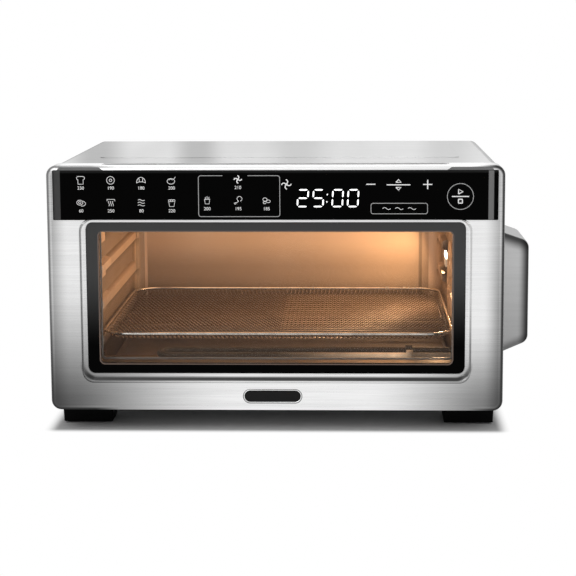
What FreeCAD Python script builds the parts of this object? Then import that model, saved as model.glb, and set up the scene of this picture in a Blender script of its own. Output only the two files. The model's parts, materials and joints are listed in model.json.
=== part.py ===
import FreeCAD, Part
import math
import os
import re

import Sketcher
from FreeCAD import Placement, Rotation, Vector

# A countertop convection oven. X runs along its width, Y from the front plane of the door
# to the back and Z up from the floor. Sizes are in millimetres.

SIZES = {
    # door slab
    "doorWidth": 400,
    "doorHeight": 218,
    "doorDepth": 25,
    "doorCorner": 9,
    "doorLip": 4.5,
    "doorBackEdge": 0.6,
    "doorSkin": 1.2,
    "doorGap": 1.5,
    # touch panel, measured down from the top of the door
    "panelWidth": 388,
    "panelHeight": 43.8,
    "panelTopMargin": 3.9,
    "panelGlass": 2.8,
    "panelSet": 0.2,
    "panelGap": 0.3,
    "panelCorner": 1,
    "sideBevelWidth": 5.5,
    "sideBevelDepth": 1.4,
    "topBevel": 1,
    "tabInner": 149.5,
    "tabOuter": 190,
    "tabHeight": 2.3,
    "tabSlope": 4,
    "tabBevel": 1.1,
    "tabSet": 0.2,
    "tabFit": 0.1,
    "bezelDepth": 5.6,
    "bezelWall": 1.2,
    "bezelEdge": 1.8,
    "bezelRise": 1.4,
    "bezelFit": 0.1,
    "bezelRim": 2,
    "bezelCorner": 3,
    "boardWall": 1.6,
    "boardFit": 2,
    "boardCorner": 2,
    "displayLeft": 14,
    "displayWidth": 61,
    "displayHeight": 22,
    "displayDrop": 14,
    "displayFit": 0.3,
    # finger cup behind the top lip
    "cupWidth": 304,
    "cupFront": 8.9,
    "cupDepth": 19.6,
    "cupWall": 1.2,
    "cupFit": 0.2,
    "cupSet": 0.4,
    "cupCorner": 3,
    # window
    "grooveWidth": 340,
    "grooveCorner": 9,
    "grooveLow": 27.2,
    "lineSide": 1.2,
    "lineLow": 2,
    "lineDepth": 2,
    "lineGap": 0.1,
    "returnMargin": 4,
    "glassWidth": 332,
    "glassHeight": 134.3,
    "glassLow": 33.4,
    "glassCorner": 6,
    "glassWall": 3.2,
    "windowSet": 3,
    "glassFit": 0.4,
    "clearWidth": 314,
    "clearHeight": 117.5,
    "clearLow": 42,
    "clearCorner": 3,
    "sealGap": 0.2,
    "sealWall": 2,
    "frameWall": 1.2,
    "innerPanelWall": 1.2,
    "innerGlassLap": 4,
    "innerGlassCorner": 4,
    "innerPanelFit": 0.3,
    "innerPanelLap": 1,
    # recess for the bare plate under the window
    "plateX": -3,
    "plateLow": 7,
    "plateWidth": 52.2,
    "plateHeight": 12.7,
    "plateRecess": 0.8,
    # screw lugs inside the door
    "lugDepth": 5,
    "lugReach": 12,
    "lugHeight": 10,
    "lugScrew": 7,
    "lugLow": 100,
    "lugHigh": 160,
    # door hinges
    "hingeHeight": 6,
    "hingeX": 186,
    "hingeTab": 5,
    "hingeNose": 5,
    "hingeEar": 3,
    "hingeEarNose": 4.4,
    "hingeSideGap": 0.4,
    "hingePin": 2.5,
    "pinFit": 0.05,
    "hingeLength": 66,
    "hingeClear": 1,
    "hingeScrew": 24,
    "bracketSet": 0.4,
    "bracketWall": 1.6,
    "bracketFoot": 9,
    "bracketFootLength": 16,
    "leafHeight": 34,
    "leafRoot": 8,
    "leafWall": 1.6,
    "panelScrew": 1.5,
    "panelScrewHead": 3,
    "panelHeadHeight": 0.8,
    "panelScrewLength": 7,
    # body
    "footHeight": 19,
    "bodyDepth": 288.5,
    "bodyInset": 1,
    "bodyLift": 2,
    "bodyDrop": 1,
    "bodyCorner": 9,
    "wrapWall": 1.2,
    "rearFlange": 15,
    "flangeScrew": 4,
    "embossHalf": 166,
    "embossFront": 86,
    "embossRearGap": 50.5,
    "embossHeight": 0.6,
    "embossCorner": 5,
    "baseWall": 1.2,
    "baseFlange": 12,
    "flangeFront": 6,
    "bulkheadWall": 1.5,
    "rearPanelWall": 1.2,
    "rearPanelInset": 4,
    "rearPanelLow": 1,
    "rearPanelCorner": 6,
    "rearScrewLow": 14,
    "rearScrewHigh": 110,
    "rearScrewSide": 24,
    "openingInset": 5,
    "openingCorner": 4,
    # slots for cooling air
    "slotWidth": 3,
    "slotLength": 26,
    "slotPitch": 9,
    "sideSlotY": 201,
    "sideSlotDrop": 64,
    "baseSlotY": 150,
    "upperSlotDrop": 60,
    "lowerSlotRise": 56,
    # cavity
    "cavityWidth": 324,
    "cavityRaise": 17,
    "cavityHeight": 164,
    "cavityRearGap": 11.5,
    "cavityCorner": 4,
    "linerWall": 1,
    "linerBend": 4,
    "coveRadius": 14,
    "guideTop": 80.4,
    "guidePitch": 32.5,
    "guideHeight": 11,
    "guideReach": 5,
    "guideTaper": 22,
    "guideFront": 33,
    "guideRearGap": 19,
    "guideSplitFront": 78,
    "guideSplitRear": 186,
    # heating elements
    "tubeRadius": 3.2,
    "lowerTubeHeight": 56.5,
    "upperTubeHeight": 186,
    "frontLeg": 56,
    "rearLegGap": 71,
    "legSpacing": 24,
    "tubeLeft": 110,
    "collarX": 117,
    "collarRadius": 5.6,
    "collarLength": 6,
    "tubeEnd": 12,
    "bushRadius": 5.4,
    "bushLength": 7,
    "bushProud": 1,
    "strapWall": 1.2,
    "strapWidth": 10,
    "strapReach": 8,
    "strapHook": 5,
    # fan in the right wall
    "fanY": 133,
    "fanZ": 108.4,
    "guardRadius": 43,
    "guardFace": 30,
    "guardDepth": 1.6,
    "guardWall": 1,
    "guardFit": 1,
    "guardSlotWidth": 3.6,
    "innerSlotStart": 6,
    "innerSlotEnd": 15,
    "outerSlotStart": 18,
    "outerSlotEnd": 28,
    "fanOpening": 37,
    "housingRadius": 47,
    "housingFlange": 5,
    "housingDepth": 20,
    "housingWall": 1,
    "shaftClear": 2,
    "impellerRadius": 39,
    "impellerDisc": 1.2,
    "discGap": 5,
    "hubLength": 10,
    "hubBack": 3,
    "bladeWall": 1.2,
    "bladeDepth": 9,
    "bladeRoot": 2,
    "bladeSweep": 8,
    "bladeStart": 8,
    "bladeEnd": 3,
    "bladeCurve": 26,
    "hubRadius": 8,
    "shaftRadius": 3,
    "shaftFit": 0.05,
    "shaftTip": 2,
    "shaftEndGap": 5,
    "motorWidth": 48,
    "motorHeight": 44,
    "motorCore": 18,
    "motorGap": 4,
    "coreCorner": 5,
    "bearingRadius": 9,
    "bearingGap": 0.4,
    "backBearing": 5,
    "bearingFit": 0.6,
    "coilShift": 2,
    "coilWidth": 24,
    "coilDrop": 9,
    "coilSink": 1,
    "coilCorner": 3,
    "bridgeWall": 1.2,
    "bridgeInset": 8,
    "bridgeHeight": 22,
    "bridgeCorner": 4,
    "postRadius": 3.4,
    "postInset": 6,
    "coolingFanRadius": 24,
    "coolerGap": 6,
    "coolerDepth": 9,
    "vaneInset": 1,
    # motor cover on the right side
    "coverFront": 95,
    "coverDepth": 76,
    "coverReach": 33,
    "coverTopRoot": 168.5,
    "coverTopOuter": 157,
    "coverLowOuter": 62.4,
    "coverLowRoot": 48.1,
    "coverCorner": 9,
    "coverEdge": 3,
    "coverWall": 1.6,
    "coverSlotInner": 7,
    "coverSlotOuter": 6,
    "earReach": 11,
    "earHeight": 52,
    "earCorner": 3,
    "earScrew": 6,
    "earScrewRise": 19,
    # lamp
    "lampFanGap": 1,
    "lampZ": 124,
    "lampWidth": 24,
    "lampHeight": 14,
    "lampFlange": 3,
    "lampFit": 0.2,
    "lampCorner": 2,
    "lampFlangeCorner": 3,
    "lensWall": 2.5,
    "lensProud": 1.5,
    "holderDepth": 25,
    "holderWall": 1,
    "holderEnd": 2,
    "bulbRadius": 5.5,
    "bulbBase": 4.5,
    "bulbBaseLength": 6,
    "bulbGap": 2,
    # temperature probe
    "sensorRearGap": 27,
    "sensorZ": 158,
    "probeRadius": 2.1,
    "probeReach": 24,
    "probeTail": 8,
    "probeCollar": 6,
    "probeCollarWall": 2,
    # basket
    "basketWidth": 316.6,
    "basketFront": 30,
    "basketRearGap": 9,
    "wireRadius": 1.5,
    "basketCorner": 24,
    "seatGap": 0.3,
    "basketDepth": 6.5,
    "meshWall": 1.2,
    "meshLip": 1,
    "meshInset": 1.2,
    "meshBar": 2.4,
    # crumb tray
    "trayInset": 3,
    "trayFrontGap": 1,
    "trayCorner": 5,
    "trayDepth": 8,
    "trayWall": 1,
    "trayRearGap": 15,
    "pullWidth": 90,
    "pullGap": 0.6,
    "pullCorner": 1,
    # feet
    "footWidth": 46,
    "footDepth": 32,
    "footTaper": 3,
    "footCorner": 2,
    "footBridge": 6,
    "footCentreX": 172,
    "footFrontY": 28.5,
    "footRearGap": 8,
    "footPad": 1.5,
    "footPadRadius": 10,
    "screwRadius": 2,
    "screwHead": 3.6,
    "headHeight": 1.5,
    "headFit": 0.8,
    "screwFit": 0.1,
    "screwTip": 3,
    # electrics
    "boardWidth": 110,
    "boardDepth": 120,
    "boardX": 30,
    "boardY": 70,
    "standoffInset": 6,
    "standoffRadius": 3,
    "standoffHeight": 12,
    "glandX": 150,
    "glandZ": 45,
    "glandRadius": 8,
    "glandReach": 7.5,
    "glandInside": 5,
    "glandFlange": 3,
    "glandFlangeWall": 2.5,
    "glandBevel": 1,
    "glandTipWall": 1.8,
    "cordHole": 3.6,
    "bumperRadius": 5,
    "bumperSide": 18,
    "bumperLow": 30,
    "bumperHigh": 10,
}

# Places worked out from the sizes above.
WORKED = {
    "halfDoor": "doorWidth / 2",
    "doorTop": "footHeight + doorHeight",
    "innerHalf": "halfDoor - doorSkin",
    "panelTop": "doorTop - panelTopMargin",
    "panelLow": "panelTop - panelHeight",
    "halfPanel": "panelWidth / 2",
    "bezelFront": "panelSet + panelGlass",
    "bezelBack": "bezelFront + bezelDepth",
    "boardFront": "bezelBack - boardWall",
    "glassBottom": "footHeight + glassLow",
    "glassTop": "glassBottom + glassHeight",
    "glassBack": "windowSet + glassWall",
    "clearBottom": "footHeight + clearLow",
    "clearTop": "clearBottom + clearHeight",
    "panelInner": "doorDepth - innerPanelWall",
    "innerGlassFront": "panelInner - glassWall",
    "cupBack": "panelInner - cupFit",
    "cupFloor": "doorTop - cupSet - cupDepth",
    "hingeY": "doorDepth / 2",
    "hingeZ": "footHeight + hingeHeight",
    "notchHalf": "hingeTab / 2 + hingeSideGap",
    "earFar": "notchHalf + hingeEar",
    "halfBody": "halfDoor - bodyInset",
    "bodyFront": "doorDepth + doorGap",
    "bodyBottom": "footHeight + bodyLift",
    "bodyTop": "doorTop - bodyDrop",
    "wrapBack": "bodyDepth - rearPanelWall",
    "wrapInner": "halfBody - wrapWall",
    "baseTop": "bodyBottom + baseWall",
    "linerFront": "bodyFront + bulkheadWall",
    "halfCavity": "cavityWidth / 2",
    "linerOuter": "halfCavity + linerWall",
    "cavityFloor": "footHeight + cavityRaise",
    "cavityTop": "cavityFloor + cavityHeight",
    "cavityBack": "bodyDepth - cavityRearGap",
    "embossBack": "bodyDepth - embossRearGap",
    "guideRear": "cavityBack - guideRearGap",
    "rearLeg": "cavityBack - rearLegGap",
    "lampY": "fanY + housingRadius + housingFlange + lampFanGap + lampFlange + lampWidth / 2",
    "sensorY": "cavityBack - sensorRearGap",
    "basketBack": "cavityBack - basketRearGap",
    "trayBack": "cavityBack - trayRearGap",
    "housingBack": "linerOuter + housingDepth",
    "discFace": "housingBack - discGap",
    "motorFront": "housingBack + motorGap",
    "motorBack": "motorFront + motorCore",
    "coverOuter": "halfBody + coverReach",
    "coverInside": "coverOuter - coverWall",
    "coverBack": "coverFront + coverDepth",
    "rimHeight": "guideTop + seatGap + wireRadius",
    "halfRim": "basketWidth / 2",
    "meshHalf": "halfRim - wireRadius - meshInset",
    "meshFront": "basketFront + wireRadius + meshInset",
    "meshBack": "basketBack - wireRadius - meshInset",
    "meshFloor": "rimHeight - basketDepth",
    "meshCorner": "basketCorner - wireRadius - meshInset",
    "overallDepth": "bodyDepth + glandReach",
}

COUNTS = {
    "sideSlots": 12,
    "baseSlots": 15,
    "upperSlots": 20,
    "lowerSlots": 12,
    "coverSlots": 8,
    "rackGuides": 3,
    "innerGuardSlots": 8,
    "outerGuardSlots": 18,
    "blades": 14,
    "vanes": 8,
    "meshColumns": 20,
    "meshRows": 15,
}
PAST = 1  # how far a cut starts and ends beyond the wall that it goes through
WELD = 0.1  # how far an added part sinks into the wall that carries it
SLOT_FLAT = 0.05  # half of the flat left at each end of a slot
SLANT = 1.1  # the upright thickness of the motor cover's sloping walls, to their real one

doc = FreeCAD.newDocument("toaster_oven")
sheet = doc.addObject("Spreadsheet::Sheet", "Sizes")
for row, (alias, number) in enumerate(SIZES.items(), 1):
    sheet.set(f"A{row}", alias)
    sheet.set(f"B{row}", str(number))
    sheet.setAlias(f"B{row}", alias)
doc.recompute()

nodes = []
corners = {}


# Expressions and places

def linked(text):
    """Turn a formula in size names into one that reads the spreadsheet."""

    def swap(match):
        word = match.group(0)
        if word in WORKED:
            return "(" + linked(WORKED[word]) + ")"
        if word in SIZES:
            return "Sizes." + word
        return word

    return re.sub(r"[A-Za-z_]\w*", swap, str(text))


def value(text):
    return float(sheet.evalExpression(linked(text)))


def node(name, thing):
    """Name a finished piece and centre it on the object's own origin."""
    thing.Label = name
    x, y = corners.get(thing.Name, ("0", "0"))
    thing.setExpression("Placement.Base.x", linked(f"({x}) - (coverReach - bodyInset) / 2"))
    thing.setExpression("Placement.Base.y", linked(f"({y}) - overallDepth / 2"))
    nodes.append((name, thing))
    return thing


# Solids from primitives

def box(name, x, y, z):
    """A block between the low and high formulas of each axis."""
    thing = doc.addObject("Part::Box", name)
    for side, place, (low, high) in zip(("Length", "Width", "Height"), "xyz", (x, y, z)):
        thing.setExpression(side, linked(f"({high}) - ({low})"))
        thing.setExpression("Placement.Base." + place, linked(low))
    corners[thing.Name] = (x[0], y[0])
    return thing


TURNS = {
    "x": Rotation(Vector(0, 1, 0), 90),
    "y": Rotation(Vector(1, 0, 0), -90),
    "z": Rotation(),
}


def rod(name, axis, start, end, centre, radius):
    """A cylinder along one axis, from start to end, with its other two places in centre."""
    thing = doc.addObject("Part::Cylinder", name)
    thing.Placement = Placement(Vector(), TURNS[axis])
    thing.setExpression("Radius", linked(radius))
    thing.setExpression("Height", linked(f"({end}) - ({start})"))
    others = iter(centre)
    places = [start if letter == axis else next(others) for letter in "xyz"]
    for letter, place in zip("xyz", places):
        thing.setExpression("Placement.Base." + letter, linked(place))
    corners[thing.Name] = (places[0], places[1])
    return thing


def fuse(name, pieces):
    thing = doc.addObject("Part::MultiFuse", name)
    thing.Shapes = pieces
    return thing


def cut(name, base, tool):
    thing = doc.addObject("Part::Cut", name)
    thing.Base = base
    thing.Tool = tool
    return thing


def screws(name, places, axis, head_start, head_end, tip, radius="screwRadius"):
    """A group of pan-head screws on one axis, each a head and a shank."""
    pieces = []
    for number, centre in enumerate(places):
        pieces.append(rod(f"{name}_head{number}", axis, head_start, head_end, centre, "screwHead"))
        low, high = (tip, head_start) if value(tip) < value(head_start) else (head_end, tip)
        pieces.append(rod(f"{name}_shank{number}", axis, low, high, centre, radius))
    return node(name, fuse(name, pieces))


# Sketched bodies

ROLES = {"xy": "XY_Plane", "xz": "XZ_Plane", "yz": "YZ_Plane"}


def body(name):
    return doc.addObject("PartDesign::Body", name)


def sketch_on(owner, name, plane, height="0", origin=("0", "0")):
    """A sketch on one of the body's own planes, raised to height and moved to origin."""
    sketch = owner.newObject("Sketcher::SketchObject", name)
    datum = next(f for f in owner.Origin.OriginFeatures if f.Role == ROLES[plane])
    sketch.AttachmentSupport = [(datum, "")]
    sketch.MapMode = "FlatFace"
    sign = "-" if plane == "xz" else ""
    sketch.setExpression("AttachmentOffset.Base.x", linked(origin[0]))
    sketch.setExpression("AttachmentOffset.Base.y", linked(origin[1]))
    sketch.setExpression("AttachmentOffset.Base.z", linked(f"{sign}({height})"))
    return sketch


def bound(sketch, constraint, text):
    index = sketch.addConstraint(constraint)
    sketch.setExpression(f"Constraints[{index}]", linked(text))


def outline(sketch, points, arcs=None):
    """A closed outline through points. arcs gives a side its radius, negative to bend inwards."""
    arcs = arcs or {}
    first = sketch.GeometryCount
    count = len(points)
    spots = [Vector(value(u), value(v), 0) for u, v in points]
    for k in range(count):
        start, end = spots[k], spots[(k + 1) % count]
        if k in arcs:
            radius = value(arcs[k])
            chord = end - start
            across = Vector(chord.y, -chord.x, 0).normalize()
            height = abs(radius) - math.sqrt(max(radius ** 2 - (chord.Length / 2) ** 2, 0))
            middle = (start + end) / 2 + across * math.copysign(height, radius)
            sketch.addGeometry(Part.Arc(start, middle, end), False)
        else:
            sketch.addGeometry(Part.LineSegment(start, end), False)
    ends = {}
    for k in range(count):
        start = spots[k]
        flipped = k in arcs and sketch.getPoint(first + k, 1).distanceToPoint(start) > 1e-6
        ends[k] = (2, 1) if flipped else (1, 2)
    for k in range(count):
        after = (k + 1) % count
        sketch.addConstraint(Sketcher.Constraint("Coincident", first + k, ends[k][1],
                                                 first + after, ends[after][0]))
    for k, (u, v) in enumerate(points):
        spot = (first + k, ends[k][0])
        bound(sketch, Sketcher.Constraint("DistanceX", -1, 1, *spot, spots[k].x), u)
        bound(sketch, Sketcher.Constraint("DistanceY", -1, 1, *spot, spots[k].y), v)
    for k, radius in arcs.items():
        size = f"abs({radius})"
        bound(sketch, Sketcher.Constraint("Radius", first + k, value(size)), size)


def rectangle(sketch, u, v):
    outline(sketch, [(u[0], v[0]), (u[1], v[0]), (u[1], v[1]), (u[0], v[1])])


def rounded(sketch, u, v, radius):
    """A rectangle with four tangent corner arcs."""
    left, right, low, high = value(u[0]), value(u[1]), value(v[0]), value(v[1])
    r = value(radius)
    first = sketch.GeometryCount
    corners = [(left + r, low), (right - r, low), (right, low + r), (right, high - r),
               (right - r, high), (left + r, high), (left, high - r), (left, low + r)]
    spots = [Vector(a, b, 0) for a, b in corners]
    for k in range(4):
        sketch.addGeometry(Part.LineSegment(spots[2 * k], spots[2 * k + 1]), False)
    centres = [(right - r, low + r), (right - r, high - r), (left + r, high - r), (left + r, low + r)]
    for k, (a, b) in enumerate(centres):
        circle = Part.Circle(Vector(a, b, 0), Vector(0, 0, 1), r)
        quarter = math.pi / 2
        sketch.addGeometry(Part.ArcOfCircle(circle, (k - 1) * quarter, k * quarter), False)
    rules = []
    for k in range(4):
        rules.append(Sketcher.Constraint("Tangent", first + k, 2, first + 4 + k, 1))
        rules.append(Sketcher.Constraint("Tangent", first + 4 + k, 2, first + (k + 1) % 4, 1))
        rules.append(Sketcher.Constraint("Vertical" if k % 2 else "Horizontal", first + k))
    for k in range(3):
        rules.append(Sketcher.Constraint("Equal", first + 4 + k, first + 5 + k))
    sketch.addConstraint(rules)
    bound(sketch, Sketcher.Constraint("DistanceX", -1, 1, first + 3, 1, left), u[0])
    bound(sketch, Sketcher.Constraint("DistanceX", -1, 1, first + 1, 1, right), u[1])
    bound(sketch, Sketcher.Constraint("DistanceY", -1, 1, first, 1, low), v[0])
    bound(sketch, Sketcher.Constraint("DistanceY", -1, 1, first + 2, 1, high), v[1])
    bound(sketch, Sketcher.Constraint("Radius", first + 4, r), radius)


def ring(sketch, u, v, radius):
    """A circle centred on two formulas."""
    centre = Vector(value(u), value(v), 0)
    index = sketch.addGeometry(Part.Circle(centre, Vector(0, 0, 1), value(radius)), False)
    bound(sketch, Sketcher.Constraint("DistanceX", -1, 1, index, 3, centre.x), u)
    bound(sketch, Sketcher.Constraint("DistanceY", -1, 1, index, 3, centre.y), v)
    bound(sketch, Sketcher.Constraint("Radius", index, value(radius)), radius)


def mirrored(u):
    return (f"-({u})", u)


def pad(owner, name, plane, low, high, draw, taper=None, origin=("0", "0")):
    """Add the drawn outline from low to high along the plane's axis."""
    sketch = sketch_on(owner, name + "_sketch", plane, low, origin)
    draw(sketch)
    feature = owner.newObject("PartDesign::Pad", name)
    feature.Profile = sketch
    feature.setExpression("Length", linked(f"abs(({high}) - ({low}))"))
    upwards = value(high) > value(low)
    feature.Reversed = upwards if plane == "xz" else not upwards
    if taper:
        feature.setExpression("TaperAngle", linked(taper))
    return feature


def pocket(owner, name, plane, low, high, draw, taper=None, origin=("0", "0")):
    """Cut the drawn outline from low to high along the plane's axis."""
    sketch = sketch_on(owner, name + "_sketch", plane, low, origin)
    draw(sketch)
    feature = owner.newObject("PartDesign::Pocket", name)
    feature.Profile = sketch
    feature.setExpression("Length", linked(f"abs(({high}) - ({low}))"))
    upwards = value(high) > value(low)
    feature.Reversed = not upwards if plane == "xz" else upwards
    if taper:
        feature.setExpression("TaperAngle", linked(taper))
    return feature


def through(owner, name, plane, low, high, draw, origin=("0", "0")):
    """Cut the drawn outline right through the wall between low and high."""
    past = math.copysign(PAST, value(high) - value(low))
    return pocket(owner, name, plane, f"{low} - ({past})", f"{high} + ({past})", draw, origin=origin)


def turned(owner, name, plane, origin, height, draw):
    """Revolve the drawn outline about the sketch's horizontal axis."""
    sketch = sketch_on(owner, name + "_sketch", plane, height, origin)
    draw(sketch)
    feature = owner.newObject("PartDesign::Revolution", name)
    feature.Profile = sketch
    feature.ReferenceAxis = (sketch, ["H_Axis"])
    feature.Angle = 360
    return feature


def edge_names(owner, wanted):
    doc.recompute()
    found = []
    for number, edge in enumerate(owner.Tip.Shape.Edges, 1):
        if wanted(edge.BoundBox):
            found.append(f"Edge{number}")
    return found


def fillet(owner, name, radius, wanted, kind="Fillet"):
    """Round the edges whose bounding boxes pass the test."""
    names = edge_names(owner, wanted)
    base = owner.Tip
    feature = owner.newObject("PartDesign::" + kind, name)
    feature.Base = (base, names)
    feature.setExpression("Size" if kind == "Chamfer" else "Radius", linked(radius))
    owner.Tip = feature
    return feature


def chamfer(owner, name, size, wanted):
    return fillet(owner, name, size, wanted, "Chamfer")


def near(number, text, slack=0.01):
    return abs(number - value(text)) < slack


def flat_at(low, high, text, slack=0.01):
    """True where a bounding box is flat at one formula."""
    return near(low, text, slack) and near(high, text, slack)


def row_of(owner, name, feature, direction, pitch, count):
    """Repeat a feature in a straight row. direction is the sketch's H_Axis or V_Axis."""
    doc.recompute()
    pattern = owner.newObject("PartDesign::LinearPattern", name)
    pattern.Originals = feature if isinstance(feature, list) else [feature]
    profile = pattern.Originals[0].Profile[0]
    pattern.Direction = (profile, [direction])
    pattern.Occurrences = count
    pattern.setExpression("Length", linked(f"({pitch}) * {count - 1}"))
    owner.Tip = pattern
    return pattern


def pill(sketch, u, v, width):
    """A slot outline with round ends."""
    rounded(sketch, u, v, f"({width}) / 2 - {SLOT_FLAT}")


def slot_row(owner, name, plane, wall, centre, start, count):
    """A row of upright air slots through a wall, centred on one place."""
    first = f"{centre} - {count - 1} * slotPitch / 2 - slotWidth / 2"
    slot = through(owner, name + "_slot", plane, *wall, lambda s: pill(
        s, (first, first + " + slotWidth"), (start, start + " + slotLength"), "slotWidth"))
    return row_of(owner, name + "_slots", slot, "H_Axis", "slotPitch", count)


def circle_of(owner, name, feature, count):
    """Repeat a feature around the origin of its sketch."""
    doc.recompute()
    pattern = owner.newObject("PartDesign::PolarPattern", name)
    pattern.Originals = [feature]
    pattern.Axis = (feature.Profile[0], ["N_Axis"])
    pattern.Angle = 360
    pattern.Occurrences = count
    owner.Tip = pattern
    return pattern


# Door

def door_skin():
    """The brushed slab: a shell with a rounded lip, a panel opening and a stamped window."""
    skin = body("door_skin")
    span = (mirrored("halfDoor"), ("footHeight", "doorTop"))
    pad(skin, "slab", "xz", "0", "doorDepth", lambda s: rounded(s, *span, "doorCorner"))
    pocket(skin, "hollow", "xz", "doorDepth", "doorSkin", lambda s: rounded(
        s, mirrored("innerHalf"), ("footHeight + doorSkin", "doorTop - doorSkin"),
        "doorCorner - doorSkin"))
    fillet(skin, "inside_lip", "doorLip - doorSkin",
           lambda b: flat_at(b.YMin, b.YMax, "doorSkin"))
    fillet(skin, "lip", "doorLip", lambda b: flat_at(b.YMin, b.YMax, "0"))

    def outer_back(b):
        outside = (near(max(-b.XMin, b.XMax), "halfDoor") or near(b.ZMin, "footHeight")
                   or near(b.ZMax, "doorTop"))
        return outside and flat_at(b.YMin, b.YMax, "doorDepth")

    chamfer(skin, "back_edge", "doorBackEdge", outer_back)
    pad(skin, "window_return", "xz", "doorSkin", "glassBack", lambda s: rounded(
        s, mirrored("grooveWidth / 2 + returnMargin"),
        ("footHeight + grooveLow - returnMargin", "panelLow"), "grooveCorner + returnMargin"))
    through(skin, "panel_opening", "xz", "0", "doorSkin", lambda s: rounded(
        s, mirrored("halfPanel"), ("panelLow", "panelTop"), "panelCorner"))
    for side, name in ((-1, "left"), (1, "right")):
        pocket(skin, "tab_notch_" + name, "xz", "0", "bezelFront", lambda s: outline(
            s, tab_points(side, "tabFit")))
    groove = sketch_on(skin, "groove_sketch", "xz", "0")
    rounded(groove, mirrored("grooveWidth / 2"), ("footHeight + grooveLow", "panelLow"),
            "grooveCorner")
    rest = sketch_on(skin, "glass_rest_sketch", "xz", "windowSet")
    opening = (mirrored("glassWidth / 2 + glassFit"),
               ("glassBottom - glassFit", "glassTop + glassFit"))
    rounded(rest, *opening, "glassCorner")
    bevel = skin.newObject("PartDesign::SubtractiveLoft", "bevel")
    bevel.Profile = groove
    bevel.Sections = [rest]
    bevel.Ruled = True
    through(skin, "glass_opening", "xz", "windowSet", "glassBack", lambda s: rounded(
        s, *opening, "glassCorner"))
    pocket(skin, "stamped_line", "xz", "0", "lineDepth", window_line)
    pocket(skin, "plate_recess", "xz", "0", "plateRecess", lambda s: pill(
        s, ("plateX - plateWidth / 2", "plateX + plateWidth / 2"),
        ("footHeight + plateLow", "footHeight + plateLow + plateHeight"), "plateHeight"))
    through(skin, "cup_slot", "xy", "doorTop - doorSkin", "doorTop", lambda s: rectangle(
        s, mirrored("cupWidth / 2"), ("cupFront", "panelInner")))
    for number, (u, v) in enumerate(LUG_SCREWS):
        side = "-" if u.startswith("-") else ""
        pad(skin, f"lug{number}", "xz", "panelInner", "panelInner - lugDepth",
            lambda s: rectangle(s, (f"{side}(innerHalf - lugReach)", f"{side}(innerHalf + {WELD})"),
                                (f"{v} - lugHeight / 2", f"{v} + lugHeight / 2")))
        through(skin, f"lug_hole{number}", "xz", "panelInner", "panelInner - lugDepth",
                lambda s: ring(s, u, v, "panelScrew"))
    for side in (-1, 1):
        middle = f"{side} * hingeX"
        through(skin, "hinge_notch" + ("_left" if side < 0 else "_right"), "xy",
                "footHeight", "footHeight + doorSkin", lambda s: rectangle(
                    s, (f"{middle} - notchHalf", f"{middle} + notchHalf"),
                    ("hingeY - hingeNose - hingeClear", f"doorDepth + {PAST}")))
    node("door_skin", skin)


def window_line(sketch):
    """The narrow stamped line outside the bevel of the window."""
    for side, low, high in (("lineSide", "lineLow", "lineSide"), ("lineGap", "lineGap", "lineGap")):
        rounded(sketch, mirrored("grooveWidth / 2 + " + side),
                ("footHeight + grooveLow - " + low, "panelLow + " + high), "grooveCorner + " + side)


def tab_points(side, gap):
    """The four corners of a corner tab above the glass, grown by gap."""
    inner, outer = f"tabInner - {gap}", f"tabOuter + {gap}"
    top = f"panelTop + tabHeight + {gap}"
    root = f"panelTop - {WELD}"
    points = [(inner, root), (outer, root),
              (outer + " - tabSlope / 2", top), (inner + " + tabSlope", top)]
    return [(f"{side} * ({u})", v) for u, v in points]


def control_panel():
    """Bezel, bevelled touch glass, display and circuit board."""
    bezel = body("control_bezel")
    pad(bezel, "frame", "xz", "bezelFront", "bezelBack", lambda s: rounded(
        s, mirrored("halfPanel + bezelEdge"), ("panelLow + bezelFit", "panelTop + bezelRise"),
        "bezelCorner"))
    for side, name in ((-1, "left"), (1, "right")):
        pad(bezel, "tab_" + name, "xz", f"bezelFront + {WELD}", "panelSet + tabSet",
            lambda s: outline(s, tab_points(side, "0")))
    chamfer(bezel, "tab_slope", "tabBevel", lambda b: flat_at(b.YMin, b.YMax, "panelSet + tabSet")
            and flat_at(b.ZMin, b.ZMax, "panelTop + tabHeight"))
    pocket(bezel, "board_bay", "xz", "bezelBack", "bezelFront + bezelWall", lambda s: rounded(
        s, mirrored("halfPanel + bezelEdge - bezelRim"),
        ("panelLow + bezelFit + bezelRim", "panelTop + bezelRise - bezelRim"), "bezelCorner / 2"))
    through(bezel, "display_window", "xz", "bezelFront", "bezelFront + bezelWall",
            lambda s: rectangle(
                s, ("displayLeft - displayFit", "displayLeft + displayWidth + displayFit"),
                ("panelTop - displayDrop - displayHeight - displayFit",
                 "panelTop - displayDrop + displayFit")))
    node("control_bezel", bezel)

    glass = body("control_glass")
    edge = "halfPanel - panelGap"
    bevel = "halfPanel - panelGap - sideBevelWidth"
    step = "panelSet + sideBevelDepth"
    pad(glass, "sheet", "xy", "panelLow + panelGap", "panelTop - panelGap", lambda s: outline(
        s, [(f"-({edge})", "bezelFront"), (f"-({edge})", step), (f"-({bevel})", "panelSet"),
            (bevel, "panelSet"), (edge, step), (edge, "bezelFront")]))
    chamfer(glass, "top_bevel", "topBevel", lambda b: flat_at(b.YMin, b.YMax, "panelSet")
            and flat_at(b.ZMin, b.ZMax, "panelTop - panelGap"))
    node("control_glass", glass)

    node("display_module", box("display_module", (
        "displayLeft", "displayLeft + displayWidth"), ("bezelFront + displayFit", "boardFront"), (
        "panelTop - displayDrop - displayHeight", "panelTop - displayDrop")))
    board = body("control_board")
    pad(board, "laminate", "xz", "boardFront", "bezelBack", lambda s: rounded(
        s, mirrored("halfPanel + bezelEdge - bezelRim - boardFit"),
        ("panelLow + bezelFit + bezelRim + boardFit", "panelTop + bezelRise - bezelRim - boardFit"),
        "boardCorner"))
    node("control_board", board)


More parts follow.
